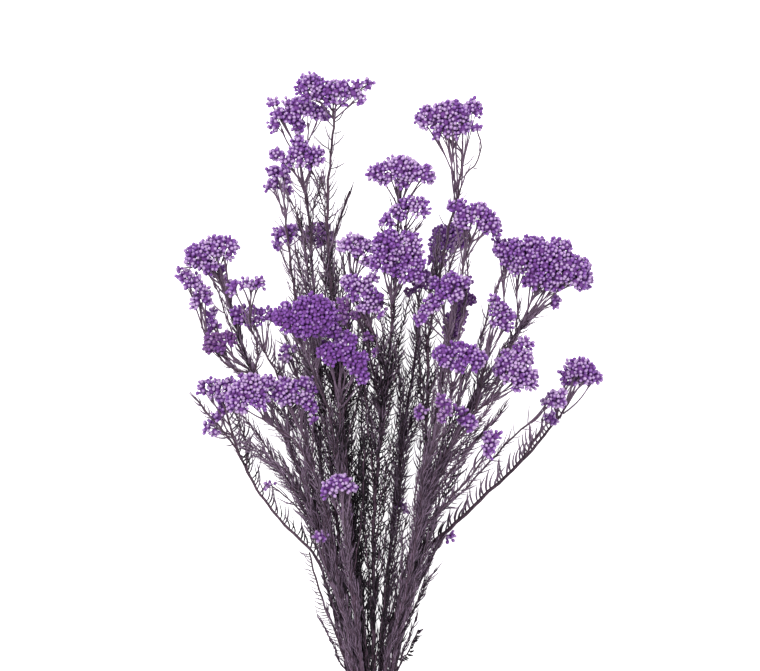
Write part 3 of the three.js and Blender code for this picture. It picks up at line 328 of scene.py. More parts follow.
# Heads whose clumps stand apart on their stalks, as a share
OPEN_HEADS = {1: 0.7, 2: 0.5, 3: 0.5, 4: 0.6, 5: 0.4, 6: 0.3, 7: 0.2, 9: 0.3, 13: 0.4, 22: 0.7, 24: 0.6,
              29: 0.5, 30: 0.5, 32: 0.5, 33: 0.3, 37: 0.4, 41: 0.4}

# How a stem carries its needle leaves. Crowding is how many needles it has next to the usual stem, angle is
# in degrees from the stem, and length and width are shares of the usual needle's. Curl bends the needles
# towards the tip, wild is how far they stray from their angle, length and curl, and side keeps them on one
# side of a combed twig. They thin out over the last millimetres below a head, given by thinning. Slender is
# the stem's thickness soon above the band, as a share of that in it. Shoots says how far apart the leafy
# side shoots stand, how short and how long they are, how far they spread and how far below the stem's tip
# they end. Tone shifts the needles' tint; its dark values on stems and twigs that lie behind others or under
# the heads are partly painted shade. Shade is painted shade: the needles' change of tint between two heights
# up the bunch, which on stem 12 darkens the needles under heads 19 and 20.
USUAL = {"crowding": 1.0, "angle": 54, "length": 1.0, "width": 1.0, "curl": 0.55, "wild": 0.8, "side": None,
         "tone": 0.0, "shade": ((0.0, 1.0), (0.0, 0.0)), "thinning": 60, "shoots": (22, 40, 95, 12, 60),
         "slender": 0.85}
COMBED = dict(USUAL, crowding=0.27, angle=72, length=1.2, width=1.4, curl=0.7, wild=0.5, thinning=10,
              shoots=None, slender=0.7)
CORD = dict(USUAL, crowding=1.5, angle=27, length=0.8, width=0.8, curl=0.2, wild=1.1)
DARK = dict(USUAL, angle=62, length=1.1, curl=0.58, wild=0.7, shoots=(20, 40, 100, 13, 60))
LEAFING = {
    1: dict(COMBED, side=1, tone=-0.15),
    2: dict(USUAL, crowding=0.85, tone=0.4, thinning=110, shoots=(25, 32, 78, 14, 90), slender=0.7),
    3: dict(DARK, tone=-0.75),
    4: dict(DARK, crowding=0.8, tone=0.5, shoots=(27, 40, 95, 12, 80)),
    5: dict(COMBED, side=-1, tone=0.3, crowding=0.32, angle=64, width=1.8, curl=0.5, slender=1.15),
    6: dict(USUAL, crowding=0.9, angle=34, tone=0.4, thinning=100, shoots=(24, 30, 64, 14, 130),
            slender=0.75),
    7: dict(USUAL, crowding=0.9, length=1.15, tone=-0.4, thinning=120, shoots=(20, 40, 95, 13, 110),
            slender=0.75),
    8: dict(DARK, crowding=0.9, tone=-0.9, thinning=180, shoots=(20, 40, 80, 11, 185), slender=0.95),
    9: dict(USUAL, crowding=0.65, tone=-0.15, thinning=110, shoots=(36, 40, 80, 8, 160), slender=0.75),
    10: dict(USUAL, crowding=1.1, angle=42, thinning=15, shoots=(20, 30, 76, 17, 40)),
    11: dict(CORD, crowding=1.1, angle=30, tone=0.8, shoots=(26, 30, 70, 9, 60)),
    12: dict(CORD, tone=0.6, shade=((180.0, 222.0), (0.0, -2.6)), shoots=(26, 36, 80, 9, 60)),
    13: dict(DARK, tone=-1.2, shoots=(20, 40, 100, 13, 110)),
    14: dict(CORD, tone=0.6, shoots=(24, 36, 90, 10, 70)),
    15: dict(CORD, crowding=1.3, angle=32, length=1.0, tone=0.5, shoots=(20, 34, 80, 15, 40)),
}
TWIG_KEYS = ("crowding", "angle", "length", "width", "curl", "wild", "side", "tone")

# The random draws of each kind have a seed of their own
DRAWN = ("courses", "side shoots", "pedicels", "buds", "bark", "needles", "tufts", "band")

# The stems' places in the band, in millimetres, and how far their cut ends splay
COLUMNS = 5
COLUMN_PITCH = 5.0
ROW_PITCH = 4.6
FIRST_ROW = 4.3
CUT_END_SPLAY = 1.25
BAND_HALF_LENGTH = 8.0
# The courses of stems and forks, in millimetres: the straight piece at a head's neck, the steps along a
# course and its tube, and how far to each side of a place its direction is told. Two waves make a course
# uneven and fade out near its ends.
NECK_LENGTH = 3.0
COURSE_STEP = 1.0
TUBE_STEP = 5.0
FRAME_REACH = 0.7
WAVE_HEIGHT = 0.35
WAVE_LENGTHS = (17, 31)
WAVE_STARTS = (0, 6.3)
WAVE_FADE = 12
# How thin stems and forks end next to their roots, how slender a fork soon is, and the places along one
# where its radius is set, with most of its last thinning done at the third of them. The bark is a little
# uneven, and a stem swells where forks leave it.
STEM_TAPER = 0.42
BRANCH_TAPER = 0.8
SLENDER_FORK = 0.85
RADIUS_PLACES = (0.0, 0.2, 0.85, 1.0)
LAST_THINNING = 0.7
UNEVEN_BARK = 0.06
SWELLING = 0.22
SWELLING_LENGTH = 4.5
# The sides of the tubes, and the widest angle between faces that look smooth
STEM_SIDES = 8
FORK_SIDES = 6
PEDICEL_SIDES = 4
SMOOTH_ANGLE = math.radians(50)
# A cut end: how squarely its faces look along the stem before and after they are bevelled, how near the
# end they are, its bevelled rim and the radius of its rings
END_FACING = 0.7
WOOD_FACING = 0.8
END_DEPTH = 2 * MM
RIM_WIDTH = 0.25 * MM
RIM_HEIGHT = 0.12 * MM
WOOD_RADIUS = 1.8 * MM
# Side shoots: their spacing and spread next to the usual, how far up they lean at least, how far out they
# are at some shares of their length, and their radii at the root and at the tip
SHOOT_SPACINGS = (0.6, 1.4)
SHOOT_SPREADS = (0.35, 1.0)
LEAST_LIFT = 0.2
SHOOT_PLACES = np.array([0.35, 0.7, 1.0])
SHOOT_APART = (0.5, 0.85, 1.15)
SHOOT_RADII = (0.6, 0.35)

# Heads are clumps of buds, in millimetres. Where a head isn't open, more lobes bridge the gaps between its
# lobes. A clump keeps off the low side of its head and off other clumps, and opens outwards.
CLUMP_RADIUS = 4.7
CLUMP_SHARE = 0.62
CLUMP_PITCH = 6.4
CLUMP_LOW_SIDE = math.cos(math.radians(118))
CLUMP_OPENING = math.cos(math.radians(100))
CLUMP_GAP = 0.7
CLUMP_DEPTH = 0.7
CLUMP_SHIFT = 0.35
CLUMP_SIZES = (0.88, 1.1)
FEWEST_CLUMPS = 4
BRIDGED_BELOW = 0.4
OPEN_SHRINKS = 0.15
OPEN_SPREADS = 0.25
AWAY_FROM_LOBE = 0.9
AWAY_FROM_NECK = 0.7
FAR_AWAY = 99.0
# Buds on their clump, in shares of its radius and of a bud's width. Some stand loose, by millimetres, and
# more of them on an open head.
FEWEST_BUDS = 6
BUD_AREA = 0.74
BUD_SEATS = (0.93, 1.05)
BUD_SPACING = 0.9
BUD_FLOOR = 0.52
BUD_SIZES = (0.86, 1.12)
BUD_HEIGHTS = (0.95, 1.15)
BUD_LEAN = 0.12
ALONG_SEAT = 0.75
ALONG_CLUMP = 0.5
BURIED = 0.8
LOOSE_BUDS = 0.05
OPEN_LOOSE_BUDS = 0.12
LOOSE_REACH = (0.8, 1.9)
OPEN_REACH = 0.7
# Tufts of a few buds on a twig: half their size, how open and dusty they are, and their neck. The dust and
# dark tone of the tufts under the heads are partly painted shade.
TUFT_HALVES = (4.5, 4.0, 4.0)
TUFT_OPENNESS = 0.5
TUFT_DUST = 0.15
TUFT_NECK = 12.0
# How far the tints of clumps and buds stray, what a head's tone adds to them, and how their dust varies
CLUMP_TINTS = 0.7
BUD_TINTS = 0.9
HEAD_TINT = 3.0
DUSTINESS = (0.5, 1.3)
# The core of a clump, which shows between its buds. Its dark tint and low reach are painted shade there.
CORE_SHARE = 1.5
CORE_FLOOR = 0.55
CORE_PAINTED_SHADE_TINT = -1.0
CORE_DUST = 0.2
CORE_REACH = 0.3
# Pedicels: a fan of stalks from the end of a shoot, each to a bundle of clumps, and one more to each clump
CLUMPS_A_STALK = 2.4
FEWEST_STALKS = 3
MOST_STALKS = 9
FAN_LENGTH = 20.0
LONG_FANS = {1: 12, 7: 50, 8: 30, 10: 26, 12: 40, 14: 26, 21: 38, 34: 26}
FAN_SHARE = 0.45
FAN_CROWDING = 0.7
STALK_SHARE = 0.8
STALK_OFFSET = 0.6
STALK_SHIFT = 0.35
STALK_BOW = 0.045
STALK_FLOOR = 0.7
STALK_RADII = np.linspace(0.68, 0.48, 6)
PEDICEL_ROOTS = (0.45, 0.95)
PEDICEL_BOW = 0.25
PEDICEL_FLOOR = 0.5
PEDICEL_RADII = np.linspace(0.45, 0.34, 4)

# Needle leaves, in millimetres: their pitch, where they begin above the middle of the band and on a fork or
# a side shoot, and where they end below a head or a tip. Near a head they are further apart and longer. They
# stay above the floor, and near it they lean up by a share of their length.
NEEDLE_PITCH = 1.0
NEEDLE_SPACINGS = (0.6, 1.4)
FIRST_NEEDLE = 22.0
FORK_BARE = 4.0
SHOOT_BARE = 5.0
NECK_BARE = 6.0
TIP_BARE = 1.0
BARENESS = 2.2
BARENESS_RISE = 0.8
BARE_LENGTH = 0.35
FLOOR_GAP = 0.4
FLOOR_SHARE = 0.15
# How far needles stray: from their turn in radians, with the wild stems from their angle, length and curl as
# shares, and then in their sideways bend and their width
TURN_STRAY = 0.3
COMB_STRAY = 0.7
ANGLE_STRAY = (-0.5, 0.45)
LENGTH_STRAY = (-0.45, 0.3)
CURL_STRAY = (-0.8, 0.6)
BEND_STRAY = 0.13
NEEDLE_WIDTHS = (0.75, 1.2)
ROOT_DEPTH = 0.7
ROOT_LEAN = 0.2
# Two heights up the bunch, and the shares of their length and of their angle that needles have there
LOW_NEEDLES = ((40.0, 190.0), (0.72, 1.0))
LOW_ANGLES = ((80.0, 170.0), (0.55, 1.0))
# How far needles close up and shorten towards the tip of a spike, of a twig and of a side shoot
SPIKE_CLOSING = 0.6
TWIG_CLOSING = 0.4
SHOOT_CLOSING = 0.3
CLOSED_SHORTER = 0.5
# The leafing of forks, twigs and side shoots next to their stem's
FORK_CROWDING = 0.85
FORK_NEEDLES = 0.9
FORK_THINNING = 30
TWIG_CROWDING = 0.72
SHOOT_CROWDING = 0.62
SHOOT_NEEDLES = 0.95
SHOOT_ANGLE = (0.6, 24)
SHOOT_CURL = 0.5
NO_THINNING = 1
# Tints of needles: how far they stray on one shoot and between shoots, what a stem's tone adds, and how much
# brighter they are for each metre above the middle height, which is painted light on the upper needles.
# Those near the middle of the bunch are dark as painted shade, and those on its outside, told by a reach
# that counts less of the height than of the width, pale as painted light.
NEEDLE_TINTS = 0.8
SHOOT_TINTS = 0.8
STEM_TINT = 2
HEIGHT_PAINTED_LIGHT = 14.0
MIDDLE_HEIGHT = 0.055
OUTER_FROM = 230.0
OUTER_SQUASH = 0.7
OUTER_PAINTED_LIGHT = ((40.0, 100.0), (-0.4, 1.9))

# Masters. Each ring of a bud is its heights, every other corner or all, and how it is stretched. A core is
# stretched above its waist. A needle has rings at some heights, a foot narrower than its middle and a point.
BUD_CORNERS = 6
BUD_RINGS = (((0.3, 0.45), 1, (0.82, 0.82, 0.97)), ((0.3, 0.45), 0, (1.04, 1.04, 1.08)),
             ((0.1, 0.2), 0, (0.96, 0.96, 1.0)), ((0.1, 0.2), 1, (1.05, 1.05, 1.2)),
             ((-0.45, -0.3), None, (0.8, 0.8, 1.1)))
BUD_TOP = (0.49, 0.6)
BUD_DIMPLE = (0, 0, -0.05)
BUD_STRETCH = (1.0, 1.0, 1.12)
BUD_MAP = ((0.0, 0.16), (1.0, 1.0))
STALK_MAP = ((0.0, 0.0), (1.0, 0.13))
NEEDLE_MAP = ((0.0, 0.0), (1.0, 1.0))
CORE_WAIST = 0.1
CORE_STRETCH = (0.9, 0.9, 1.1)
NEEDLE_RINGS = (0.34, 0.72)
CURLED_RINGS = (0.2, 0.42, 0.64, 0.84)
RING_REACH = 0.02
NEEDLE_FOOT = 0.5
NEEDLE_WIDENING = 2.2
NEEDLE_POINT = 0.45
NEEDLE_FLATNESS = 0.75
# Each copy has a cell of its piece's map, with a margin, and its own spot in the noise of its finish
CELL_MARGIN = 0.06
CELL_SHARE = 0.88
SPOT_STEP = 7.0

# The rubber band: its wraps, their pitch in radii of a strand, their tilt, its rounded corners, and the
# distance from the middle that tells one side of a wrap from the other
WRAPS = 4
WRAP_PITCH = 2.02
WRAP_TILT = 0.012
BAND_CORNER = 4.3 * MM
BARELY = 1e-5

# The stage, in metres. The camera hangs over the middle of the picture, which is given in millimetres of the
# layout, and the picture's width is measured at a level. A light has a place, a size and a power.
CAMERA_HEIGHT = 5.0
PICTURE_MIDDLE = (3.75, 303.4)
PICTURE_LEVEL = 0.07
PICTURE_WIDTH = 0.57
SENSOR_WIDTH = 36.0
FAR_CLIP = 200.0
LIGHTS = {"key_light": ((-0.7, 0.9, 2.6), 0.8, 72.0), "fill_light": ((1.3, -0.5, 2.2), 1.6, 22.0)}
LIT_PLACE = Vector((0.0, 0.05, 0.0))
WORLD_STRENGTH = 0.5
FLOOR_GLOW = 0.95

# The colours of buds and needles go from root to tip, shifted by their tint, their patch and their streaks.
# Their dark roots are painted shade between the buds and among the needles at the stem, and the lilac bud
# tips are partly painted highlights. Dull buds go less far.
BUD_STOPS = (0.15, 0.78, 1.0)
BUD_TINT_SHIFT = 0.09
BUD_PATCH_SHIFT = 0.3
BUD_STREAK_SHIFT = 0.22
NEEDLE_REACH_SHARE = 0.9
NEEDLE_PALENESS = 0.08
NEEDLE_TINT_SHIFT = 0.24
NEEDLE_PATCH_SHIFT = 0.6
DULL_FOOT = 0.25
DULL_RISE = 0.5
# Bark shows its fibres and its patches, cut wood its rings and a small pith, and rubber its dust and skin
FIBRE_CONTRAST = 1.5
PATCH_CONTRAST = 0.8
WOOD_RINGS = 19.0
RING_WOBBLE = 2.0
RING_DEPTH = 0.35
PITH_SHARPNESS = 3.5
GROOVE_SHADE = 0.62
DUST_SHARE = 0.7
SKIN_SHARE = 0.2


def display(red, green, blue):
    """A colour as a screen shows it, from 0 to 255, as light values."""
    return [((value / 255 + 0.055) / 1.055) ** 2.4 if value > 10 else value / 3295
            for value in (red, green, blue)]


def length_value(name, description, default):
    return FloatProperty(name=name, description=description, default=default * MM, min=0.0, unit="LENGTH",
                         precision=5)


def colour_value(name, description, red, green, blue):
    return FloatVectorProperty(name=name, description=description, default=display(red, green, blue),
                               size=3, min=0.0, max=1.0, subtype="COLOR")


class BunchSizes(bpy.types.PropertyGroup):
    """Sizes of what grows on the bunch."""

    bud_width: length_value("Bud width", "Across one closed bud", 2.78)
    needle_length: length_value("Needle length", "From root to tip of one needle leaf", 13.0)
    needle_width: length_value("Needle width", "Across one needle leaf", 1.4)
    stem_radius: length_value("Stem radius", "Half the thickness of a stem in the band", 1.9)
    branch_radius: length_value("Branch radius", "Half the thickness of a fork where it leaves its stem",
                                0.9)
    twig_radius: length_value("Twig radius", "Half the thickness of a leafy twig at its root", 0.65)
    strand_radius: length_value("Strand radius", "Half the thickness of one strand of the rubber band", 0.95)
    floor_size: length_value("Floor size", "Across the pale floor", 40000.0)


class BunchColours(bpy.types.PropertyGroup):
    """Colours of the dyed and dried pieces."""

    # The deep violet at the base of each bud is painted shade between the buds.
    bud_painted_shade: colour_value("Bud shade", "Deep violet between the buds", 104, 56, 128)
    bud_body: colour_value("Bud body", "Sides of a bud", 120, 72, 152)
    # The lilac tip is partly the papery bract tip and partly a painted highlight on the bud.
    bud_tip_and_highlight: colour_value("Bud tip", "Papery tip of a bud", 178, 149, 192)
    # Dull buds are partly their own dull colour and partly painted shade under other heads.
    bud_dust_and_shade: colour_value("Bud dust", "Dull buds that dried in the shade", 116, 82, 116)
    # The near black root is partly the leaf's own plum and partly painted shade among the crowded needles.
    needle_root_and_shade: colour_value("Needle root", "Needle leaf at the stem", 22, 15, 24)
    needle_tip: colour_value("Needle tip", "Needle leaf at its tip", 128, 107, 130)
    bark: colour_value("Bark", "Brownish purple bark", 46, 32, 44)
    bark_light: colour_value("Bark ridge", "Worn ridges of the bark", 98, 74, 92)
    pedicel: colour_value("Pedicel", "Shaded side of the stalks under a head", 72, 54, 72)
    pedicel_light: colour_value("Pedicel ridge", "Lit ridges of the stalks under a head", 128, 106, 128)
    wood: colour_value("Wood", "Freshly cut end of a stem", 196, 168, 140)
    pith: colour_value("Pith", "Middle of a cut stem", 120, 92, 92)
    rubber: colour_value("Rubber", "The band round the stems", 196, 160, 112)
    floor: colour_value("Floor", "The pale floor", 236, 236, 236)


def sizes():
    return bpy.context.scene.rice_flower_sizes


def colours():
    return bpy.context.scene.rice_flower_colours


class Wire:
    """One output of a shader node, with the arithmetic that the finishes use."""

    def __init__(self, finish, socket):
        self.finish = finish
        self.socket = socket

    def maths(self, operation, first, second, clamp=False):
        return self.finish.node("Math", {"operation": operation, "use_clamp": clamp}, {0: first, 1: second})

    def __add__(self, other):
        return self.maths("ADD", self, other)

    def __radd__(self, other):
        return self.maths("ADD", other, self)

    def __sub__(self, other):
        return self.maths("SUBTRACT", self, other)

    def __rsub__(self, other):
        return self.maths("SUBTRACT", other, self)

    def __mul__(self, other):
        return self.maths("MULTIPLY", self, other)

    def clamped(self):
        return self.maths("ADD", self, 0.0, clamp=True)


class Finish:
    """A material and its node tree."""

    def __init__(self, name):
        self.material = bpy.data.materials.new(name)
        self.material.use_nodes = True
        self.tree = self.material.node_tree

    def node(self, kind, settings=None, inputs=None, output=0):
        """Adds a node of a kind, sets it, feeds its sockets and gives one of its outputs."""
        node = self.tree.nodes.new("ShaderNode" + kind)
        for name, value in (settings or {}).items():
            setattr(node, name, value)
        for name, value in (inputs or {}).items():
            self.feed(node.inputs[name], value)
        return Wire(self, node.outputs[output])

    def feed(self, socket, value):
        if isinstance(value, Wire):
            self.tree.links.new(value.socket, socket)
        elif socket.type == "RGBA" and len(value) == 3:
            socket.default_value = (*value, 1.0)
        else:
            socket.default_value = value

    def finished(self, **values):
        """Feeds the sockets of the surface's own shader and gives the material."""
        shader = self.tree.nodes["Principled BSDF"]
        for name, value in values.items():
            self.feed(shader.inputs[name.replace("_", " ")], value)
        return self.material

    def attribute(self, name, output="Fac"):
        return self.node("Attribute", {"attribute_name": name}, output=output)

    def noise(self, scale, detail=2.0, stretch=(1.0, 1.0, 1.0), place=None):
        """Noise over the object's own coordinates, or over another place, stretched."""
        place = place or self.node("TexCoord", output="Object")
        vector = self.node("Mapping", {}, {"Vector": place, "Scale": stretch})
        return self.node("TexNoise", {}, {"Vector": vector, "Scale": scale, "Detail": detail}, "Fac")

    def mix(self, share, first, second):
        return self.node("Mix", {"data_type": "RGBA"}, {0: share, 6: first, 7: second}, 2)

    def ramp(self, value, positions, shades):
        wire = self.node("ValToRGB", {}, {"Fac": value})
        elements = wire.socket.node.color_ramp.elements
        while len(elements) < len(positions):
            elements.new(1.0)
        for element, position, shade in zip(elements, positions, shades):
            element.position = position
            element.color = (*shade, 1.0)
        return wire

    def bump(self, height, strength, distance):
        return self.node("Bump", {}, {"Height": height, "Strength": strength, "Distance": distance})


def bud_finish():
    """Closed papery buds: violet base as painted shade, lilac tip partly a painted highlight, fine streaks
    along bracts.
    """
    tones = colours()
    finish = Finish("dyed_buds")
    reach = finish.attribute("reach")
    tint = finish.attribute("tint")
    patch = finish.noise(scale=90.0) - 0.5
    streaks = finish.noise(scale=1.0, detail=3.0, stretch=(9.0, 9.0, 1.6),
                           place=finish.attribute("spot", "Vector"))
    level = (reach + tint * BUD_TINT_SHIFT + patch * BUD_PATCH_SHIFT
             + (streaks - 0.5) * BUD_STREAK_SHIFT).clamped()
    colour = finish.ramp(level, BUD_STOPS, (tones.bud_painted_shade, tones.bud_body, tones.bud_tip_and_highlight))
    dull = finish.mix(reach * DULL_RISE + DULL_FOOT, tones.bud_painted_shade, tones.bud_dust_and_shade)
    return finish.finished(Base_Color=finish.mix(finish.attribute("dust"), colour, dull),
                           Roughness=0.58 + streaks * 0.25, Specular_IOR_Level=0.25,
                           Normal=finish.bump(streaks, strength=0.35, distance=0.0003))


def needle_finish():
    """Dry needle leaves: near black plum at the root, partly painted shade, dusty lilac grey at the tip."""
    tones = colours()
    finish = Finish("dry_needles")
    reach = finish.attribute("reach")
    tint = finish.attribute("tint")
    patch = finish.noise(scale=45.0) - 0.5
    level = (reach * NEEDLE_REACH_SHARE + NEEDLE_PALENESS + tint * NEEDLE_TINT_SHIFT
             + patch * NEEDLE_PATCH_SHIFT).clamped()
    grain = finish.noise(scale=1400.0, detail=1.0)
    return finish.finished(Base_Color=finish.mix(level, tones.needle_root_and_shade, tones.needle_tip),
                           Roughness=0.62 + grain * 0.25, Specular_IOR_Level=0.3,
                           Normal=finish.bump(grain, strength=0.3, distance=0.0002))


def bark_finish(name, dark, light):
    """Thin fibrous bark, with worn ridges along the stem; on the pedicels, lit ridges and shaded sides are
    painted.
    """
    finish = Finish(name)
    fibres = finish.noise(scale=900.0, detail=3.0, stretch=(1.0, 0.09, 1.0))
    patch = finish.noise(scale=60.0, stretch=(1.0, 0.5, 1.0))
    level = ((fibres - 0.5) * FIBRE_CONTRAST + patch * PATCH_CONTRAST).clamped()
    return finish.finished(Base_Color=finish.mix(level, dark, light), Roughness=0.65 + fibres * 0.25,
                           Specular_IOR_Level=0.3, Normal=finish.bump(fibres, strength=0.6, distance=0.0004))


def cut_wood_finish():
    """A cut end: pale wood with rings round a darker pith."""
    tones = colours()
    finish = Finish("cut_wood")
    ring = finish.attribute("ring")
    grain = finish.noise(scale=2600.0)
    turns = ring * WOOD_RINGS + grain * RING_WOBBLE
    waves = finish.node("Math", {"operation": "SINE"}, {0: turns}) * 0.5 + 0.5
    pale = finish.mix(waves * RING_DEPTH, tones.wood, tones.bark_light)
    middle = (1.0 - ring * PITH_SHARPNESS).clamped()
    return finish.finished(Base_Color=finish.mix(middle, pale, tones.pith), Roughness=0.7 + grain * 0.2,
                           Specular_IOR_Level=0.25, Normal=finish.bump(waves, strength=0.3, distance=0.0002))


def rubber_finish():
    """Slightly glossy rubber with a fine skin and dust in its grooves."""
    tones = colours()
    finish = Finish("band_rubber")
    skin = finish.noise(scale=2200.0, detail=3.0)
    dust = finish.noise(scale=240.0)
    darker = [value * GROOVE_SHADE for value in tones.rubber]
    grooves = dust * DUST_SHARE + skin * SKIN_SHARE
    return finish.finished(Base_Color=finish.mix(grooves, tones.rubber, darker), Roughness=0.38 + skin * 0.3,
                           Normal=finish.bump(skin, strength=0.25, distance=0.0002))


def floor_finish():
    """A pale studio floor that stays nearly white under soft light."""
    return Finish("pale_floor").finished(Base_Color=colours().floor, Roughness=0.9, Specular_IOR_Level=0.1,
                                         Emission_Color=(1.0, 1.0, 1.0), Emission_Strength=FLOOR_GLOW)


def select_only(*things):
    """Leaves only these objects selected, the first of them active."""
    bpy.ops.object.select_all(action="DESELECT")
    for thing in things:
        thing.select_set(True)
    bpy.context.view_layer.objects.active = things[0]


def values_of(items, name, size, kind=float):
    """One row of values for each of a mesh's items, such as the place of each vertex."""
    values = np.zeros(len(items) * size, kind)
    items.foreach_get(name, values)
    return values.reshape(-1, size)


def in_edit_mode(thing, chosen, action):
    """Selects a thing's chosen vertices in edit mode and runs an action on them."""
    select_only(thing)
    mesh = thing.data
    places = values_of(mesh.vertices, "co", 3)
    bpy.context.tool_settings.mesh_select_mode = (True, False, False)
    bpy.ops.object.mode_set(mode="EDIT")
    bpy.ops.mesh.select_all(action="DESELECT")
    bpy.ops.object.mode_set(mode="OBJECT")
    mesh.vertices.foreach_set("select", chosen(places))
    bpy.ops.object.mode_set(mode="EDIT")
    action()
    bpy.ops.object.mode_set(mode="OBJECT")


def everywhere(places):
    return np.ones(len(places), bool)


def stretching(shares):
    """An action that stretches the chosen vertices about the origin."""
    return lambda: bpy.ops.transform.resize(value=shares, center_override=(0, 0, 0))


def moving(way):
    """An action that moves the chosen vertices."""
    return lambda: bpy.ops.transform.translate(value=way)


def apply_place(thing):
    select_only(thing)
    bpy.ops.object.transform_apply(location=True, rotation=True, scale=True)


def placed(name, data, material):
    """A new object in the scene, of one material."""
    data.materials.append(material)
    thing = bpy.data.objects.new(name, data)
    bpy.context.collection.objects.link(thing)
    return thing


def joined(*things):
    select_only(*things)
    if len(things) > 1:
        bpy.ops.object.join()
    return bpy.context.object


def unit(vectors):
    return vectors / np.linalg.norm(vectors, axis=-1, keepdims=True)


def to_frame(places):
    """Places in millimetres of the layout, in the frame's metres."""
    return np.asarray(places) * MM + LAYOUT_ORIGIN


def keep_above(places, floor):
    """Lifts the places that are lower than a height up to it."""
    places[..., 2] = np.maximum(places[..., 2], floor)
    return places


def directions_over(radius, area, fewest, draws):
    """Directions spread evenly all round a ball, one for each such area of it, turned by a random turn."""
    count = max(fewest, round(4 * math.pi * radius ** 2 / area))
    steps = np.arange(count)
    height = 1 - (2 * steps + 1) / count
    across = np.sqrt(1 - height ** 2)
    turn = GOLDEN_TURN * steps
    axes, _ = np.linalg.qr(draws.normal(size=(3, 3)))
    return np.stack([across * np.cos(turn), height, across * np.sin(turn)], axis=1) @ axes


def smooth_course(waypoints):
    """Points about a millimetre apart on the centripetal curve through the waypoints."""
    points = np.array(waypoints, float)
    points = np.vstack([2 * points[0] - points[1], points, 2 * points[-1] - points[-2]])
    stretches = []
    for a, b, c, d in zip(points, points[1:], points[2:], points[3:]):
        ab, bc, cd = (math.sqrt(np.linalg.norm(second - first))
                      for first, second in ((a, b), (b, c), (c, d)))
        leaving = ((b - a) / ab - (c - a) / (ab + bc) + (c - b) / bc) * bc
        arriving = ((c - b) / bc - (d - b) / (bc + cd) + (d - c) / cd) * bc
        count = max(2, math.ceil(np.linalg.norm(c - b) / COURSE_STEP))
        t = np.linspace(0, 1, count, endpoint=False)[:, None]
        stretches.append(b + leaving * t + (3 * (c - b) - 2 * leaving - arriving) * t ** 2
                         + (2 * (b - c) + leaving + arriving) * t ** 3)
    return np.vstack([*stretches, points[-2:-1]])


class Shoot:
    """The course of a stem, a fork or a side shoot, and its thickness along it."""

    def __init__(self, waypoints, radius, tip_radius, draws, slender=SLENDER_FORK):
        line = smooth_course(waypoints)
        along = self.measure(line)
        fade = np.minimum(1, np.minimum(along, along[-1] - along) / WAVE_FADE)
        for axis in (0, 2):
            wave = sum(np.sin(2 * math.pi * along / length + draws.uniform(*WAVE_STARTS))
                       for length in WAVE_LENGTHS)
            line[:, axis] += fade * wave * WAVE_HEIGHT
        self.line = line
        self.along = self.measure(line)
        self.length = self.along[-1]
        self.radius = radius
        self.tip_radius = tip_radius
        self.slender = slender

    def measure(self, line):
        """How far along a line each of its points is."""
        return np.concatenate([[0.0], np.cumsum(np.linalg.norm(np.diff(line, axis=0), axis=1))])

    def nearest(self, place):
        """How far along the course the point nearest to a place is."""
        return self.along[np.argmin(np.linalg.norm(self.line - np.array(place), axis=1))]

    def points(self, at):
        return np.stack([np.interp(at, self.along, self.line[:, axis]) for axis in range(3)], axis=-1)

    def radii(self, at):
        middle = self.radius * self.slender
        late = middle + (self.tip_radius - middle) * LAST_THINNING
        return np.interp(at / self.length, RADIUS_PLACES, (self.radius, middle, late, self.tip_radius))

    def frames(self, at):
        """Forward, sideways and upward at places along the course."""
        forward = unit(self.points(at + FRAME_REACH) - self.points(at - FRAME_REACH))
        sideways = unit(np.cross(forward, UP))
        return forward, sideways, np.cross(sideways, forward)

    def run(self, draws, swellings=()):
        """The points and radii of a tube along the course, thicker where it forks."""
        at = np.linspace(0, self.length, max(3, round(self.length / TUBE_STEP) + 1))
        radii = self.radii(at) * (1 + draws.uniform(-UNEVEN_BARK, UNEVEN_BARK, len(at)))
        for place in swellings:
            radii *= 1 + SWELLING * np.exp(-((at - place) / SWELLING_LENGTH) ** 2)
        return self.points(at), radii


def stem_name(number):
    return f"leafy_stem_{number:02d}"


def stem_numbers():
    return range(1, len(LEAFY_STEMS) + 1)


def draws_for(kind, *numbers):
    """Random draws of one kind, for one stem or head, which are the same in every run."""
    return np.random.default_rng([SEED, DRAWN.index(kind) + 1, *numbers])


def last_waypoints(growth):
    """Where a stem, a fork or a twig ends. Below a head it turns straight towards the head's middle."""
    if "head" not in growth:
        return [growth.get("tip") or growth["buds"]]
    head = FLOWER_HEADS[growth["head"]]
    neck = head["neck"]
    return [neck - NECK_LENGTH * unit(head["lobes"][:, :3].mean(0) - neck), neck]


def stem_shoots(number):
    """The main shoot of a stem, and its forks and twigs with what each of them carries."""
    stem = LEAFY_STEMS[number - 1]
    draws = draws_for("courses", number)
    row, column = divmod(number - 1, COLUMNS)
    x = (column - (COLUMNS - 1) / 2) * COLUMN_PITCH
    z = FIRST_ROW + row * ROW_PITCH
    middle = FIRST_ROW + ROW_PITCH
    cut = (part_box(stem_name(number))[0].y - LAYOUT_ORIGIN[1]) / MM
    waypoints = [(x * CUT_END_SPLAY, cut, middle + (z - middle) * CUT_END_SPLAY), (x, -BAND_HALF_LENGTH, z),
                 (x, BAND_HALF_LENGTH, z), *stem["path"], *last_waypoints(stem)]
    stem_radius = sizes().stem_radius / MM
    main = Shoot(waypoints, stem_radius, stem_radius * STEM_TAPER, draws, LEAFING[number]["slender"])
    forks = []

    def grow(growth, root, radius):
        course = [root, *growth["via"], *last_waypoints(growth)]
        forks.append((Shoot(course, radius, radius * BRANCH_TAPER, draws), growth))

    for fork in stem["forks"]:
        grow(fork, stem["path"][fork["root"]], sizes().branch_radius / MM)
    for twig in LEAFY_TWIGS[number]:
        root = main.points(np.interp(twig["root"], main.line[:, 1], main.along))
        grow(twig, root, sizes().twig_radius / MM)
    return main, forks


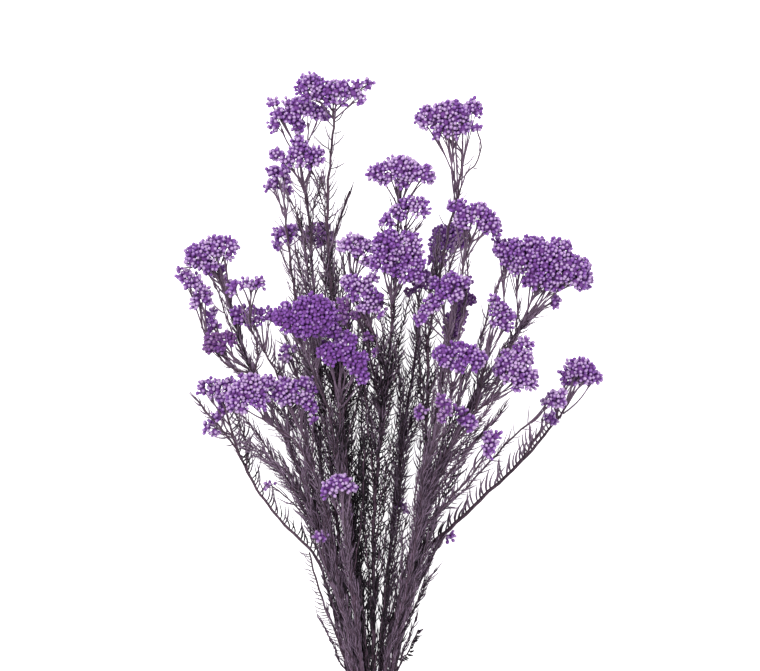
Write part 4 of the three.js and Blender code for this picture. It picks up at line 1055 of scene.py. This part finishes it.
def side_shoots(number, main):
    """Leafy shoots along the lower and middle stem, which lean away from it as they climb beside it."""
    leafing = LEAFING[number]
    if leafing["shoots"] is None:
        return []
    spacing, shortest, longest, spread, below = leafing["shoots"]
    draws = draws_for("side shoots", number)
    shoots = []
    at = main.nearest(LEAFY_STEMS[number - 1]["path"][0]) - draws.uniform(0, spacing)
    while at < main.length - below - shortest:
        length = min(draws.uniform(shortest, longest), main.length - at - below)
        sideways, upward = (axis[0] for axis in main.frames(np.array([at]))[1:])
        turn = draws.uniform(0, 2 * math.pi)
        lift = LEAST_LIFT + (1 - LEAST_LIFT) * abs(math.sin(turn))
        outward = unit(sideways * math.cos(turn) + upward * lift)
        root = main.points(at)
        apart = draws.uniform(*SHOOT_SPREADS) * spread
        places = main.points(at + SHOOT_PLACES * length)
        waypoints = [root] + [place + outward * apart * share for place, share in zip(places, SHOOT_APART)]
        shoots.append(Shoot(waypoints, *SHOOT_RADII, draws))
        at += spacing * draws.uniform(*SHOOT_SPACINGS)
    return shoots


class Master:
    """One modelled bud, core or needle, read from its object, ready to be copied."""

    def __init__(self, thing):
        mesh = thing.data
        self.places = values_of(mesh.vertices, "co", 3)
        self.corners = values_of(mesh.loops, "vertex_index", 1, np.int32).ravel()
        self.starts = values_of(mesh.polygons, "loop_start", 1, np.int32).ravel()
        self.map = values_of(mesh.uv_layers.active.data, "uv", 2)
        heights = self.places[:, 2]
        self.reach = (heights - heights.min()) / (heights.max() - heights.min())
        bpy.data.objects.remove(thing)


class Copies:
    """Copies of a master: their coordinates in millimetres, a tint and a dust for each, and their reach."""

    def __init__(self, master, places, tint, dust=0.0, reach=None):
        self.master = master
        self.places = places
        self.tint = tint
        self.dust = np.broadcast_to(dust, len(places))
        self.reach = master.reach if reach is None else np.full(len(master.reach), reach)


def turned_copies(master, roots, upwards, leans, widths, lengths, bends=None):
    """Stands copies of a master on their roots, along `upwards`, bent towards `leans` and sideways."""
    x_axis = unit(leans - np.sum(leans * upwards, axis=1, keepdims=True) * upwards)
    y_axis = np.cross(upwards, x_axis)
    x, y, z = master.places.T
    wide = widths[:, None]
    tall = lengths[:, None]
    along = tall * z
    first = wide * x
    second = wide * y
    if bends is not None:
        first = first + bends[:, 0:1] * tall * z ** 2
        second = second + bends[:, 1:2] * tall * z ** 2
    return (roots[:, None, :] + first[..., None] * x_axis[:, None, :]
            + second[..., None] * y_axis[:, None, :] + along[..., None] * upwards[:, None, :])


def mesh_of_copies(name, batches, material):
    """One object from batches of copies, each copy with its own cell of the map for its finish."""
    places, corners, starts, maps, spots = [], [], [], [], []
    values = {"reach": [], "tint": [], "dust": []}
    cells = math.ceil(math.sqrt(sum(len(batch.places) for batch in batches)))
    first_vertex, first_corner, first_cell = 0, 0, 0
    for batch in batches:
        master, count = batch.master, len(batch.places)
        vertices, loops = len(master.places), len(master.corners)
        steps = np.arange(count)[:, None]
        places.append(batch.places.reshape(-1, 3))
        corners.append((master.corners[None, :] + first_vertex + steps * vertices).ravel())
        starts.append((master.starts[None, :] + first_corner + steps * loops).ravel())
        cell = first_cell + steps
        corner_of_cell = np.stack([cell % cells, cell // cells], axis=-1)
        maps.append(((corner_of_cell + CELL_MARGIN + master.map[None] * CELL_SHARE) / cells).reshape(-1, 2))
        values["reach"].append(np.tile(batch.reach, count))
        values["tint"].append(np.repeat(batch.tint, vertices))
        values["dust"].append(np.repeat(batch.dust, vertices))
        spots.append((master.places[None] + batch.tint[:, None, None] * SPOT_STEP).reshape(-1, 3))
        first_vertex += count * vertices
        first_corner += count * loops
        first_cell += count
    mesh = bpy.data.meshes.new(name)
    mesh.vertices.add(first_vertex)
    mesh.vertices.foreach_set("co", to_frame(keep_above(np.vstack(places), 0.0)).ravel())
    mesh.loops.add(first_corner)
    mesh.loops.foreach_set("vertex_index", np.concatenate(corners))
    starts = np.concatenate(starts)
    mesh.polygons.add(len(starts))
    mesh.polygons.foreach_set("loop_start", starts)
    mesh.update(calc_edges=True)
    mesh.uv_layers.new(name="OFBake").data.foreach_set("uv", np.vstack(maps).ravel())
    for kind, parts in values.items():
        mesh.attributes.new(kind, "FLOAT", "POINT").data.foreach_set("value", np.concatenate(parts))
    mesh.attributes.new("spot", "FLOAT_VECTOR", "POINT").data.foreach_set("vector", np.vstack(spots).ravel())
    return placed(name, mesh, material)


def fit_map(thing, low, high):
    """Moves a master's own map into a box of the cell."""
    layer = thing.data.uv_layers.active.data
    places = values_of(layer, "uv", 2)
    span = places.max(0) - places.min(0)
    places = (places - places.min(0)) / span * (np.array(high) - low) + low
    layer.foreach_set("uv", places.ravel())


def bud_master():
    """A closed bud, one across, with the tips of its bracts standing off, on a thin stalk."""
    bpy.ops.mesh.primitive_uv_sphere_add(segments=BUD_CORNERS, ring_count=5, radius=0.5, location=(0, 0, 0))
    bud = bpy.context.object

    def ring(heights, parity=None):
        def chosen(places):
            turn = np.round(np.arctan2(places[:, 1], places[:, 0]) / (2 * math.pi / BUD_CORNERS)).astype(int)
            inside = (places[:, 2] > heights[0]) & (places[:, 2] < heights[1])
            return inside if parity is None else inside & (turn % 2 == parity)
        return chosen

    for heights, parity, shares in BUD_RINGS:
        in_edit_mode(bud, ring(heights, parity), stretching(shares))
    in_edit_mode(bud, ring(BUD_TOP), moving(BUD_DIMPLE))
    in_edit_mode(bud, everywhere, stretching(BUD_STRETCH))
    fit_map(bud, *BUD_MAP)
    bpy.ops.mesh.primitive_cone_add(vertices=3, radius1=0.07, radius2=0.12, depth=1.3,
                                    location=(0, 0, -1.05))
    stalk = bpy.context.object
    fit_map(stalk, *STALK_MAP)
    apply_place(stalk)
    return Master(joined(bud, stalk))


def core_master():
    """The shaded middle of a clump, where the bracts of the inner buds close up."""
    bpy.ops.mesh.primitive_ico_sphere_add(subdivisions=1, radius=0.5, location=(0, 0, 0))
    core = bpy.context.object
    in_edit_mode(core, lambda places: places[:, 2] > CORE_WAIST, stretching(CORE_STRETCH))
    return Master(core)


def needle_master(heights):
    """A needle leaf, one long and one across, narrow at its root and pointed, with a ring at each height."""
    bpy.ops.mesh.primitive_cone_add(vertices=3, radius1=0.5, radius2=0.0, depth=1.0, location=(0, 0, 0.5))
    needle = bpy.context.object
    apply_place(needle)
    for height in heights:
        in_edit_mode(needle, everywhere,
                     lambda: bpy.ops.mesh.bisect(plane_co=(0, 0, height), plane_no=(0, 0, 1)))
    for height in (0.0, *heights):
        across = min(1.0, NEEDLE_FOOT + NEEDLE_WIDENING * height)
        across = across * (1 - height) ** NEEDLE_POINT / (1 - height)
        in_edit_mode(needle, lambda places: np.abs(places[:, 2] - height) < RING_REACH,
                     stretching((across, across * NEEDLE_FLATNESS, 1.0)))
    fit_map(needle, *NEEDLE_MAP)
    return Master(needle)


def bridged(lobes):
    """Lobes with one more between each and its nearest neighbour, so that a head has no deep gaps."""
    extra = []
    for index in range(1, len(lobes)):
        distances = np.linalg.norm(lobes[:index, :3] - lobes[index, :3], axis=1)
        extra.append((lobes[index] + lobes[np.argmin(distances)]) / 2)
    return np.vstack([lobes, *extra])


def clumps_of(head, draws, openness):
    """The clumps of a head: the middle, the radius and the direction of growth of each."""
    neck, lobes = head["neck"], head["lobes"]
    lean = math.atan2(neck[0] - lobes[0, 0], lobes[0, 1] - neck[1])
    turn = np.array([[math.cos(lean), -math.sin(lean), 0], [math.sin(lean), math.cos(lean), 0], [0, 0, 1]])
    growth = unit(lobes[:, :3].mean(0) - neck)
    if openness < BRIDGED_BELOW:
        lobes = bridged(lobes)
    radii = np.minimum(CLUMP_RADIUS, CLUMP_SHARE * lobes[:, 3:].min(1)) * (1 - OPEN_SHRINKS * openness)
    inners = lobes[:, 3:] - radii[:, None]
    clumps = []
    for index, (lobe, radius, inner) in enumerate(zip(lobes, radii, inners)):
        pitch = CLUMP_PITCH * radius / CLUMP_RADIUS * (1 + OPEN_SPREADS * openness)
        directions = directions_over(inner.mean(), pitch ** 2, FEWEST_CLUMPS, draws)
        for direction in directions:
            place = lobe[:3] + turn @ (direction * inner) + draws.normal(0, CLUMP_SHIFT, 3)
            if direction @ growth < CLUMP_LOW_SIDE and len(directions) > FEWEST_CLUMPS:
                continue
            depths = np.linalg.norm(((place - lobes[:, :3]) @ turn) / inners, axis=1)
            depths[index] = 1.0
            near = min((np.linalg.norm(place - other[0]) for other in clumps), default=FAR_AWAY)
            if depths.min() < CLUMP_DEPTH or near < CLUMP_GAP * pitch:
                continue
            axis = unit(AWAY_FROM_LOBE * unit(place - lobe[:3]) + AWAY_FROM_NECK * unit(place - neck))
            clumps.append((place, radius * draws.uniform(*CLUMP_SIZES), axis))
    return clumps


def buds_of(head, draws, tone, dust, openness, bud, core):
    """The buds of a head, crowded on the outward side of its clumps, with some standing loose."""
    width = sizes().bud_width / MM
    clumps = clumps_of(head, draws, openness)
    middles, radii, growths = (np.array(values) for values in zip(*clumps))
    places, axes, tints = [], [], []
    for number, (middle, radius, axis) in enumerate(clumps):
        clump_tint = draws.normal(0, CLUMP_TINTS)
        for direction in directions_over(radius, BUD_AREA * width ** 2, FEWEST_BUDS, draws):
            if direction @ axis < CLUMP_OPENING:
                continue
            place = middle + direction * radius * draws.uniform(*BUD_SEATS)
            others = np.linalg.norm(middles - place, axis=1) / radii
            others[number] = FAR_AWAY
            if others.min() < BURIED:
                continue
            if draws.random() < LOOSE_BUDS + OPEN_LOOSE_BUDS * openness:
                nearest, furthest = LOOSE_REACH
                place = place + direction * draws.uniform(nearest, furthest + OPEN_REACH * openness)
            places.append(place)
            axes.append(unit(ALONG_SEAT * direction + ALONG_CLUMP * axis + draws.normal(0, BUD_LEAN, 3)))
            tints.append(clump_tint + draws.normal(0, BUD_TINTS))
    order = draws.permutation(len(places))
    places, axes, tints = (np.array(values)[order] for values in (places, axes, tints))
    kept = []
    for number, place in enumerate(places):
        if not kept or np.linalg.norm(places[kept] - place, axis=1).min() > BUD_SPACING * width:
            kept.append(number)
    places, axes, tints = places[kept], axes[kept], tints[kept] + tone * HEAD_TINT
    keep_above(places, BUD_FLOOR * width)
    across = width * draws.uniform(*BUD_SIZES, len(places))
    leans = draws.normal(size=places.shape)
    heights = across * draws.uniform(*BUD_HEIGHTS, len(places))
    buds = turned_copies(bud, places, axes, leans, across, heights)
    dusty = np.clip(dust * draws.uniform(*DUSTINESS, len(places)), 0, 1)
    core_sizes = radii * CORE_SHARE
    keep_above(middles, CORE_FLOOR * core_sizes)
    cores = turned_copies(core, middles, growths, draws.normal(size=middles.shape), core_sizes, core_sizes)
    return [Copies(bud, buds, tints, dusty),
            Copies(core, cores, np.full(len(cores), CORE_PAINTED_SHADE_TINT), CORE_DUST, CORE_REACH)]


def bundled(middles, count):
    """Which of a few bundles each clump belongs to: the bundles start at clumps far from each other."""
    seeds = [0]
    while True:
        gaps = np.linalg.norm(middles[:, None] - middles[seeds][None], axis=2)
        if len(seeds) >= count:
            return gaps.argmin(1)
        seeds.append(int(np.argmax(gaps.min(1))))


def bowed(start, end, bow, t):
    """Points at shares of the way between two ends, on a line that bows out in its middle."""
    return start + (end - start) * t + bow * 4 * t * (1 - t)


def bowed_run(start, end, bow, floor, radii):
    """The points and radii of a bowed tube that stays above a height."""
    return keep_above(bowed(start, end, bow, np.linspace(0, 1, len(radii))[:, None]), floor), radii


def pedicel_runs(number, shoot):
    """The stalks under a head: a fan from the end of its shoot, and thinner ones from it to each clump."""
    draws = draws_for("pedicels", number)
    clumps = clumps_of(FLOWER_HEADS[number], draws_for("buds", number), OPEN_HEADS.get(number, 0.0))
    middles = np.array([clump[0] for clump in clumps])
    fewest = min(FEWEST_STALKS, len(clumps))
    count = int(np.clip(round(len(clumps) / CLUMPS_A_STALK), fewest, MOST_STALKS))
    bundle = bundled(middles, count)
    fan = min(LONG_FANS.get(number, FAN_LENGTH), FAN_SHARE * shoot.length)
    runs = []
    for index in range(count):
        members = middles[bundle == index]
        root = shoot.points(shoot.length - fan * draws.uniform(0, 1) ** FAN_CROWDING)
        root = root + unit(members.mean(0) - root) * STALK_OFFSET + draws.normal(0, STALK_SHIFT, 3)
        end = root + (members.mean(0) - root) * STALK_SHARE
        bow = draws.normal(0, STALK_BOW, 3) * np.linalg.norm(end - root)
        runs.append(bowed_run(root, end, bow, STALK_FLOOR, STALK_RADII))
        root, end = runs[-1][0][[0, -1]]
        for middle in members:
            fork = bowed(root, end, bow, draws.uniform(*PEDICEL_ROOTS))
            bend = draws.normal(0, PEDICEL_BOW, 3)
            runs.append(bowed_run(fork, middle, bend, PEDICEL_FLOOR, PEDICEL_RADII))
    return runs


def tubes(name, runs, sides, material):
    """A mesh of round tubes with closed ends."""
    curve = bpy.data.curves.new(name, "CURVE")
    curve.dimensions = "3D"
    curve.bevel_depth = MM
    curve.bevel_resolution = (sides - 4) // 2
    curve.use_fill_caps = True
    for points, radii in runs:
        spline = curve.splines.new("POLY")
        spline.points.add(len(points) - 1)
        spline.points.foreach_set("co", np.column_stack([to_frame(points), np.ones(len(points))]).ravel())
        spline.points.foreach_set("radius", np.ascontiguousarray(radii, np.float32))
    tube = placed(name, curve, material)
    select_only(tube)
    bpy.ops.object.convert(target="MESH")
    return tube


def finish_cut_end(piece, cut, wood):
    """Bevels the rim of the cut end and gives its face the finish of wood."""
    mesh = piece.data
    mesh.materials.append(wood)

    def end_faces(facing):
        return [face for face in mesh.polygons
                if face.normal.y < -facing and face.center.y < cut + END_DEPTH]

    ends = end_faces(END_FACING)
    if not ends:
        raise RuntimeError(f"{piece.name} has no cut end")
    rim = list(ends[0].vertices)
    middle = np.array(ends[0].center)
    in_edit_mode(piece, lambda places: np.isin(np.arange(len(places)), rim), cut_face)
    ring = np.ones(len(mesh.vertices))
    for vertex in mesh.vertices:
        ring[vertex.index] = min(1.0, np.linalg.norm(np.array(vertex.co) - middle) / WOOD_RADIUS)
    mesh.attributes.new("ring", "FLOAT", "POINT").data.foreach_set("value", ring)
    for face in end_faces(WOOD_FACING):
        face.material_index = 1


def cut_face():
    bpy.ops.mesh.inset(thickness=RIM_WIDTH, depth=RIM_HEIGHT)
    bpy.ops.mesh.poke()


def bareness(at, end, leafing):
    """How far a place is into the bare last stretch below a head, from 0 to 1."""
    return np.maximum(0.0, 1 - (end - at) / leafing["thinning"])


def needle_places(start, end, leafing, draws):
    """Places along a shoot, one needle each, further apart as they near a head."""
    places = []
    at = start
    while at < end:
        places.append(at)
        pitch = NEEDLE_PITCH * (1 + BARENESS * bareness(at, end, leafing) ** BARENESS_RISE)
        at += pitch / leafing["crowding"] * draws.uniform(*NEEDLE_SPACINGS)
    return np.array(places)


def needles_on(shoot, start, end, leafing, draws, needle, closing=0.0):
    """Needle leaves round a shoot, or on one side of it, which `closing` draws together at its tip."""
    at = needle_places(start, end, leafing, draws)
    count = len(at)
    if count == 0:
        return []
    forward, sideways, upward = shoot.frames(at)
    turn = np.arange(count) * GOLDEN_TURN + draws.normal(0, TURN_STRAY, count)
    if leafing["side"]:
        turn = (0.0 if leafing["side"] > 0 else math.pi) + draws.uniform(-COMB_STRAY, COMB_STRAY, count)
    outward = sideways * np.cos(turn)[:, None] + upward * np.sin(turn)[:, None]
    share = (at - start) / (end - start)
    x, y, _ = shoot.points(at).T

    def strayed(usual, stray):
        return usual * (1 + leafing["wild"] * draws.uniform(*stray, count))

    angle = np.radians(strayed(leafing["angle"] * (1 - closing * share), ANGLE_STRAY))
    if not leafing["side"]:
        angle *= np.interp(y, *LOW_ANGLES)
    direction = outward * np.sin(angle)[:, None] + forward * np.cos(angle)[:, None]
    length = strayed(sizes().needle_length / MM * leafing["length"], LENGTH_STRAY)
    length *= (1 - CLOSED_SHORTER * closing * share) * (1 + BARE_LENGTH * bareness(at, end, leafing))
    length *= np.interp(y, *LOW_NEEDLES)
    roots = shoot.points(at) + outward * (shoot.radii(at) * ROOT_DEPTH)[:, None]
    bends = np.stack([strayed(leafing["curl"], CURL_STRAY), draws.normal(0, BEND_STRAY, count)], axis=1)
    tips = roots + direction * length[:, None]
    direction[:, 2] += np.maximum(0, FLOOR_GAP + FLOOR_SHARE * length - tips[:, 2]) / length
    direction = unit(direction)
    across = sizes().needle_width / MM * leafing["width"] * draws.uniform(*NEEDLE_WIDTHS, count)
    places = turned_copies(needle, roots, direction, forward - outward * ROOT_LEAN, across, length, bends)
    keep_above(places, FLOOR_GAP)
    # Painted light and shade: needles high up and on the outside are brighter, those in the middle darker,
    # and the shade table darkens needles under heads.
    painted_light = (roots[:, 2] * MM - MIDDLE_HEIGHT) * HEIGHT_PAINTED_LIGHT
    reach = np.hypot(roots[:, 0], OUTER_SQUASH * np.maximum(0, roots[:, 1] - OUTER_FROM))
    painted_light += np.interp(reach, *OUTER_PAINTED_LIGHT) + np.interp(roots[:, 1], *leafing["shade"])
    tints = draws.normal(0, NEEDLE_TINTS, count) + draws.normal(0, SHOOT_TINTS) + leafing["tone"] * STEM_TINT
    return [Copies(needle, places, tints + painted_light)]


def adopt(piece, node):
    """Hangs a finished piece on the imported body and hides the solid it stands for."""
    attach(piece, "root")
    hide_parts(node)


class RICEFLOWER_OT_woody_stems(bpy.types.Operator):
    """Grow the bark, the forks and the pedicels of every stem"""

    bl_idname = "rice_flower.woody_stems"
    bl_label = "Woody stems"

    def execute(self, context):
        tones = colours()
        bark = bark_finish("dyed_bark", tones.bark, tones.bark_light)
        stalks = bark_finish("dyed_pedicels", tones.pedicel, tones.pedicel_light)
        wood = cut_wood_finish()
        for number in stem_numbers():
            draws = draws_for("bark", number)
            main, forks = stem_shoots(number)
            shoots = [shoot for shoot, _ in forks]
            swellings = [main.nearest(shoot.line[0]) for shoot in shoots]
            name = f"woody_stem_{number:02d}"
            trunk = tubes(name, [main.run(draws, swellings)], STEM_SIDES, bark)
            finish_cut_end(trunk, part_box(stem_name(number))[0].y, wood)
            small = [shoot.run(draws) for shoot in shoots + side_shoots(number, main)]
            fans = []
            for shoot, growth in [(main, LEAFY_STEMS[number - 1]), *forks]:
                if "head" in growth:
                    fans += pedicel_runs(growth["head"], shoot)
            parts = [trunk, tubes(name + "_forks", small, FORK_SIDES, bark)]
            if fans:
                parts.append(tubes(name + "_pedicels", fans, PEDICEL_SIDES, stalks))
            piece = joined(*parts)
            bpy.ops.object.shade_smooth_by_angle(angle=SMOOTH_ANGLE)
            adopt(piece, stem_name(number))
        return {"FINISHED"}


class RICEFLOWER_OT_needle_leaves(bpy.types.Operator):
    """Grow the needle leaves of every stem, fork and side shoot"""

    bl_idname = "rice_flower.needle_leaves"
    bl_label = "Needle leaves"

    def execute(self, context):
        needle = needle_master(NEEDLE_RINGS)
        curled = needle_master(CURLED_RINGS)
        finish = needle_finish()
        for number in stem_numbers():
            draws = draws_for("needles", number)
            stem = LEAFY_STEMS[number - 1]
            leafing = LEAFING[number]
            main, forks = stem_shoots(number)
            start = stem["path"][0]
            first = main.nearest(start) - start[1] + FIRST_NEEDLE
            last = main.length - (TIP_BARE if "tip" in stem else NECK_BARE)
            batches = needles_on(main, first, last, leafing, draws, curled if leafing["side"] else needle,
                                 SPIKE_CLOSING if "tip" in stem else 0.0)
            for shoot, fork in forks:
                small = dict(leafing, crowding=leafing["crowding"] * FORK_CROWDING,
                             length=leafing["length"] * FORK_NEEDLES,
                             thinning=min(FORK_THINNING, leafing["thinning"]))
                if "tip" in fork:
                    small.update(crowding=TWIG_CROWDING, thinning=NO_THINNING, side=None)
                small.update({key: fork[key] for key in TWIG_KEYS if key in fork})
                closing = TWIG_CLOSING if "tip" in fork and not small["side"] else 0.0
                end = shoot.length if "tip" in fork else shoot.length - NECK_BARE
                batches += needles_on(shoot, FORK_BARE, end, small, draws, curled, closing)
            share, more = SHOOT_ANGLE
            small = dict(leafing, crowding=SHOOT_CROWDING, length=SHOOT_NEEDLES,
                         angle=leafing["angle"] * share + more, curl=SHOOT_CURL, thinning=NO_THINNING)
            for shoot in side_shoots(number, main):
                batches += needles_on(shoot, SHOOT_BARE, shoot.length, small, draws, needle, SHOOT_CLOSING)
            piece = mesh_of_copies(f"needle_leaves_{number:02d}", batches, finish)
            adopt(piece, stem_name(number))
        return {"FINISHED"}


class RICEFLOWER_OT_flower_heads(bpy.types.Operator):
    """Grow the buds of every flower head, and the few buds on side twigs"""

    bl_idname = "rice_flower.flower_heads"
    bl_label = "Flower heads"

    def execute(self, context):
        bud = bud_master()
        core = core_master()
        finish = bud_finish()
        for number, head in FLOWER_HEADS.items():
            tone, dust, openness = (table.get(number, 0.0) for table in (HEAD_TONES, HEAD_DUST_AND_SHADE, OPEN_HEADS))
            batches = buds_of(head, draws_for("buds", number), tone, dust, openness, bud, core)
            piece = mesh_of_copies(f"buds_of_head_{number:02d}", batches, finish)
            adopt(piece, f"flower_head_{number:02d}")
        for number in stem_numbers():
            batches = []
            for place, (shoot, fork) in enumerate(stem_shoots(number)[1]):
                if "buds" in fork:
                    neck = shoot.points(max(0.0, shoot.length - TUFT_NECK))
                    tuft = flower_head(neck, (*fork["buds"], *fork.get("halves", TUFT_HALVES)))
                    batches += buds_of(tuft, draws_for("tufts", number, place), fork.get("tone", 0.0),
                                       fork.get("dust", TUFT_DUST), TUFT_OPENNESS, bud, core)
            if batches:
                piece = mesh_of_copies(f"side_buds_{number:02d}", batches, finish)
                adopt(piece, stem_name(number))
        return {"FINISHED"}


class RICEFLOWER_OT_rubber_band(bpy.types.Operator):
    """Wind the rubber band round the stems"""

    bl_idname = "rice_flower.rubber_band"
    bl_label = "Rubber band"

    def execute(self, context):
        strand = sizes().strand_radius
        low, high = np.array(BAND_LOW), np.array(BAND_HIGH)
        centre = (low + high) / 2
        half = (high - low) / 2
        corner = BAND_CORNER - strand
        draws = draws_for("band")
        wraps = []
        for turn in range(WRAPS):
            along = (turn - (WRAPS - 1) / 2) * WRAP_PITCH * strand
            bpy.ops.mesh.primitive_torus_add(
                major_segments=40, minor_segments=8, major_radius=corner, minor_radius=strand,
                location=(0, 0, 0), rotation=(math.pi / 2, 0, 0))
            wrap = bpy.context.object
            apply_place(wrap)
            for axis, sign in ((0, 1), (0, -1), (2, 1), (2, -1)):
                way = [0.0, 0.0, 0.0]
                way[axis] = sign * (half[axis] - corner - strand)
                in_edit_mode(wrap, lambda places: places[:, axis] * sign > BARELY, moving(way))
            tilt = draws.uniform(-WRAP_TILT, WRAP_TILT)
            in_edit_mode(wrap, everywhere, lambda: bpy.ops.transform.rotate(
                value=tilt, orient_axis="Z", center_override=(0, 0, 0)))
            in_edit_mode(wrap, everywhere, moving(tuple(centre + np.array([0, along, 0]))))
            wraps.append(wrap)
        band = joined(*wraps)
        band.name = "rubber_band"
        bpy.ops.object.shade_smooth()
        band.data.materials.append(rubber_finish())
        adopt(band, "tie_band")
        return {"FINISHED"}


class RICEFLOWER_OT_stage(bpy.types.Operator):
    """Lay the pale floor, light it softly and hang the camera over the bunch"""

    bl_idname = "rice_flower.stage"
    bl_label = "Stage"

    def execute(self, context):
        scene = context.scene
        scene.view_settings.view_transform = "Standard"
        bpy.ops.mesh.primitive_plane_add(size=sizes().floor_size, location=(0, 0, 0))
        floor = context.object
        floor.name = "studio_floor"
        floor.data.materials.append(floor_finish())
        for name, (place, size, power) in LIGHTS.items():
            bpy.ops.object.light_add(type="AREA", location=place)
            light = context.object
            light.name = name
            light.data.size = size
            light.data.energy = power
            light.rotation_euler = (LIT_PLACE - light.location).to_track_quat("-Z", "Y").to_euler()
        x, y, _ = to_frame((*PICTURE_MIDDLE, 0.0))
        bpy.ops.object.camera_add(location=(x, y, CAMERA_HEIGHT), rotation=(0, 0, 0))
        camera = context.object
        camera.data.sensor_width = SENSOR_WIDTH
        camera.data.lens = SENSOR_WIDTH * (CAMERA_HEIGHT - PICTURE_LEVEL) / PICTURE_WIDTH
        camera.data.clip_end = FAR_CLIP
        scene.camera = camera
        world = bpy.data.worlds.new("soft_studio")
        world.use_nodes = True
        background = world.node_tree.nodes["Background"]
        background.inputs["Color"].default_value = (1.0, 1.0, 1.0, 1.0)
        background.inputs["Strength"].default_value = WORLD_STRENGTH
        scene.world = world
        return {"FINISHED"}


class RICEFLOWER_PT_bunch(bpy.types.Panel):
    """Sizes, colours and the steps that dress the bunch"""

    bl_idname = "RICEFLOWER_PT_bunch"
    bl_label = "Rice flower bunch"
    bl_space_type = "VIEW_3D"
    bl_region_type = "UI"
    bl_category = "Rice flower"

    def draw(self, context):
        layout = self.layout
        for group in (sizes(), colours()):
            box = layout.box()
            for name in group.__annotations__:
                box.prop(group, name)
        for step in STEPS:
            layout.operator(step.bl_idname)


STEPS = (RICEFLOWER_OT_stage, RICEFLOWER_OT_woody_stems, RICEFLOWER_OT_needle_leaves,
         RICEFLOWER_OT_flower_heads, RICEFLOWER_OT_rubber_band)
CLASSES = (BunchSizes, BunchColours, *STEPS, RICEFLOWER_PT_bunch)


def register():
    for cls in CLASSES:
        bpy.utils.register_class(cls)
    bpy.types.Scene.rice_flower_sizes = PointerProperty(type=BunchSizes)
    bpy.types.Scene.rice_flower_colours = PointerProperty(type=BunchColours)


def unregister():
    del bpy.types.Scene.rice_flower_colours
    del bpy.types.Scene.rice_flower_sizes
    for cls in reversed(CLASSES):
        bpy.utils.unregister_class(cls)


def main():
    register()
    bpy.ops.rice_flower.stage()
    bpy.ops.rice_flower.woody_stems()
    bpy.ops.rice_flower.needle_leaves()
    bpy.ops.rice_flower.flower_heads()
    bpy.ops.rice_flower.rubber_band()
    bpy.ops.object.select_all(action="DESELECT")
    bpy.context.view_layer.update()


if __name__ == "__main__":
    main()
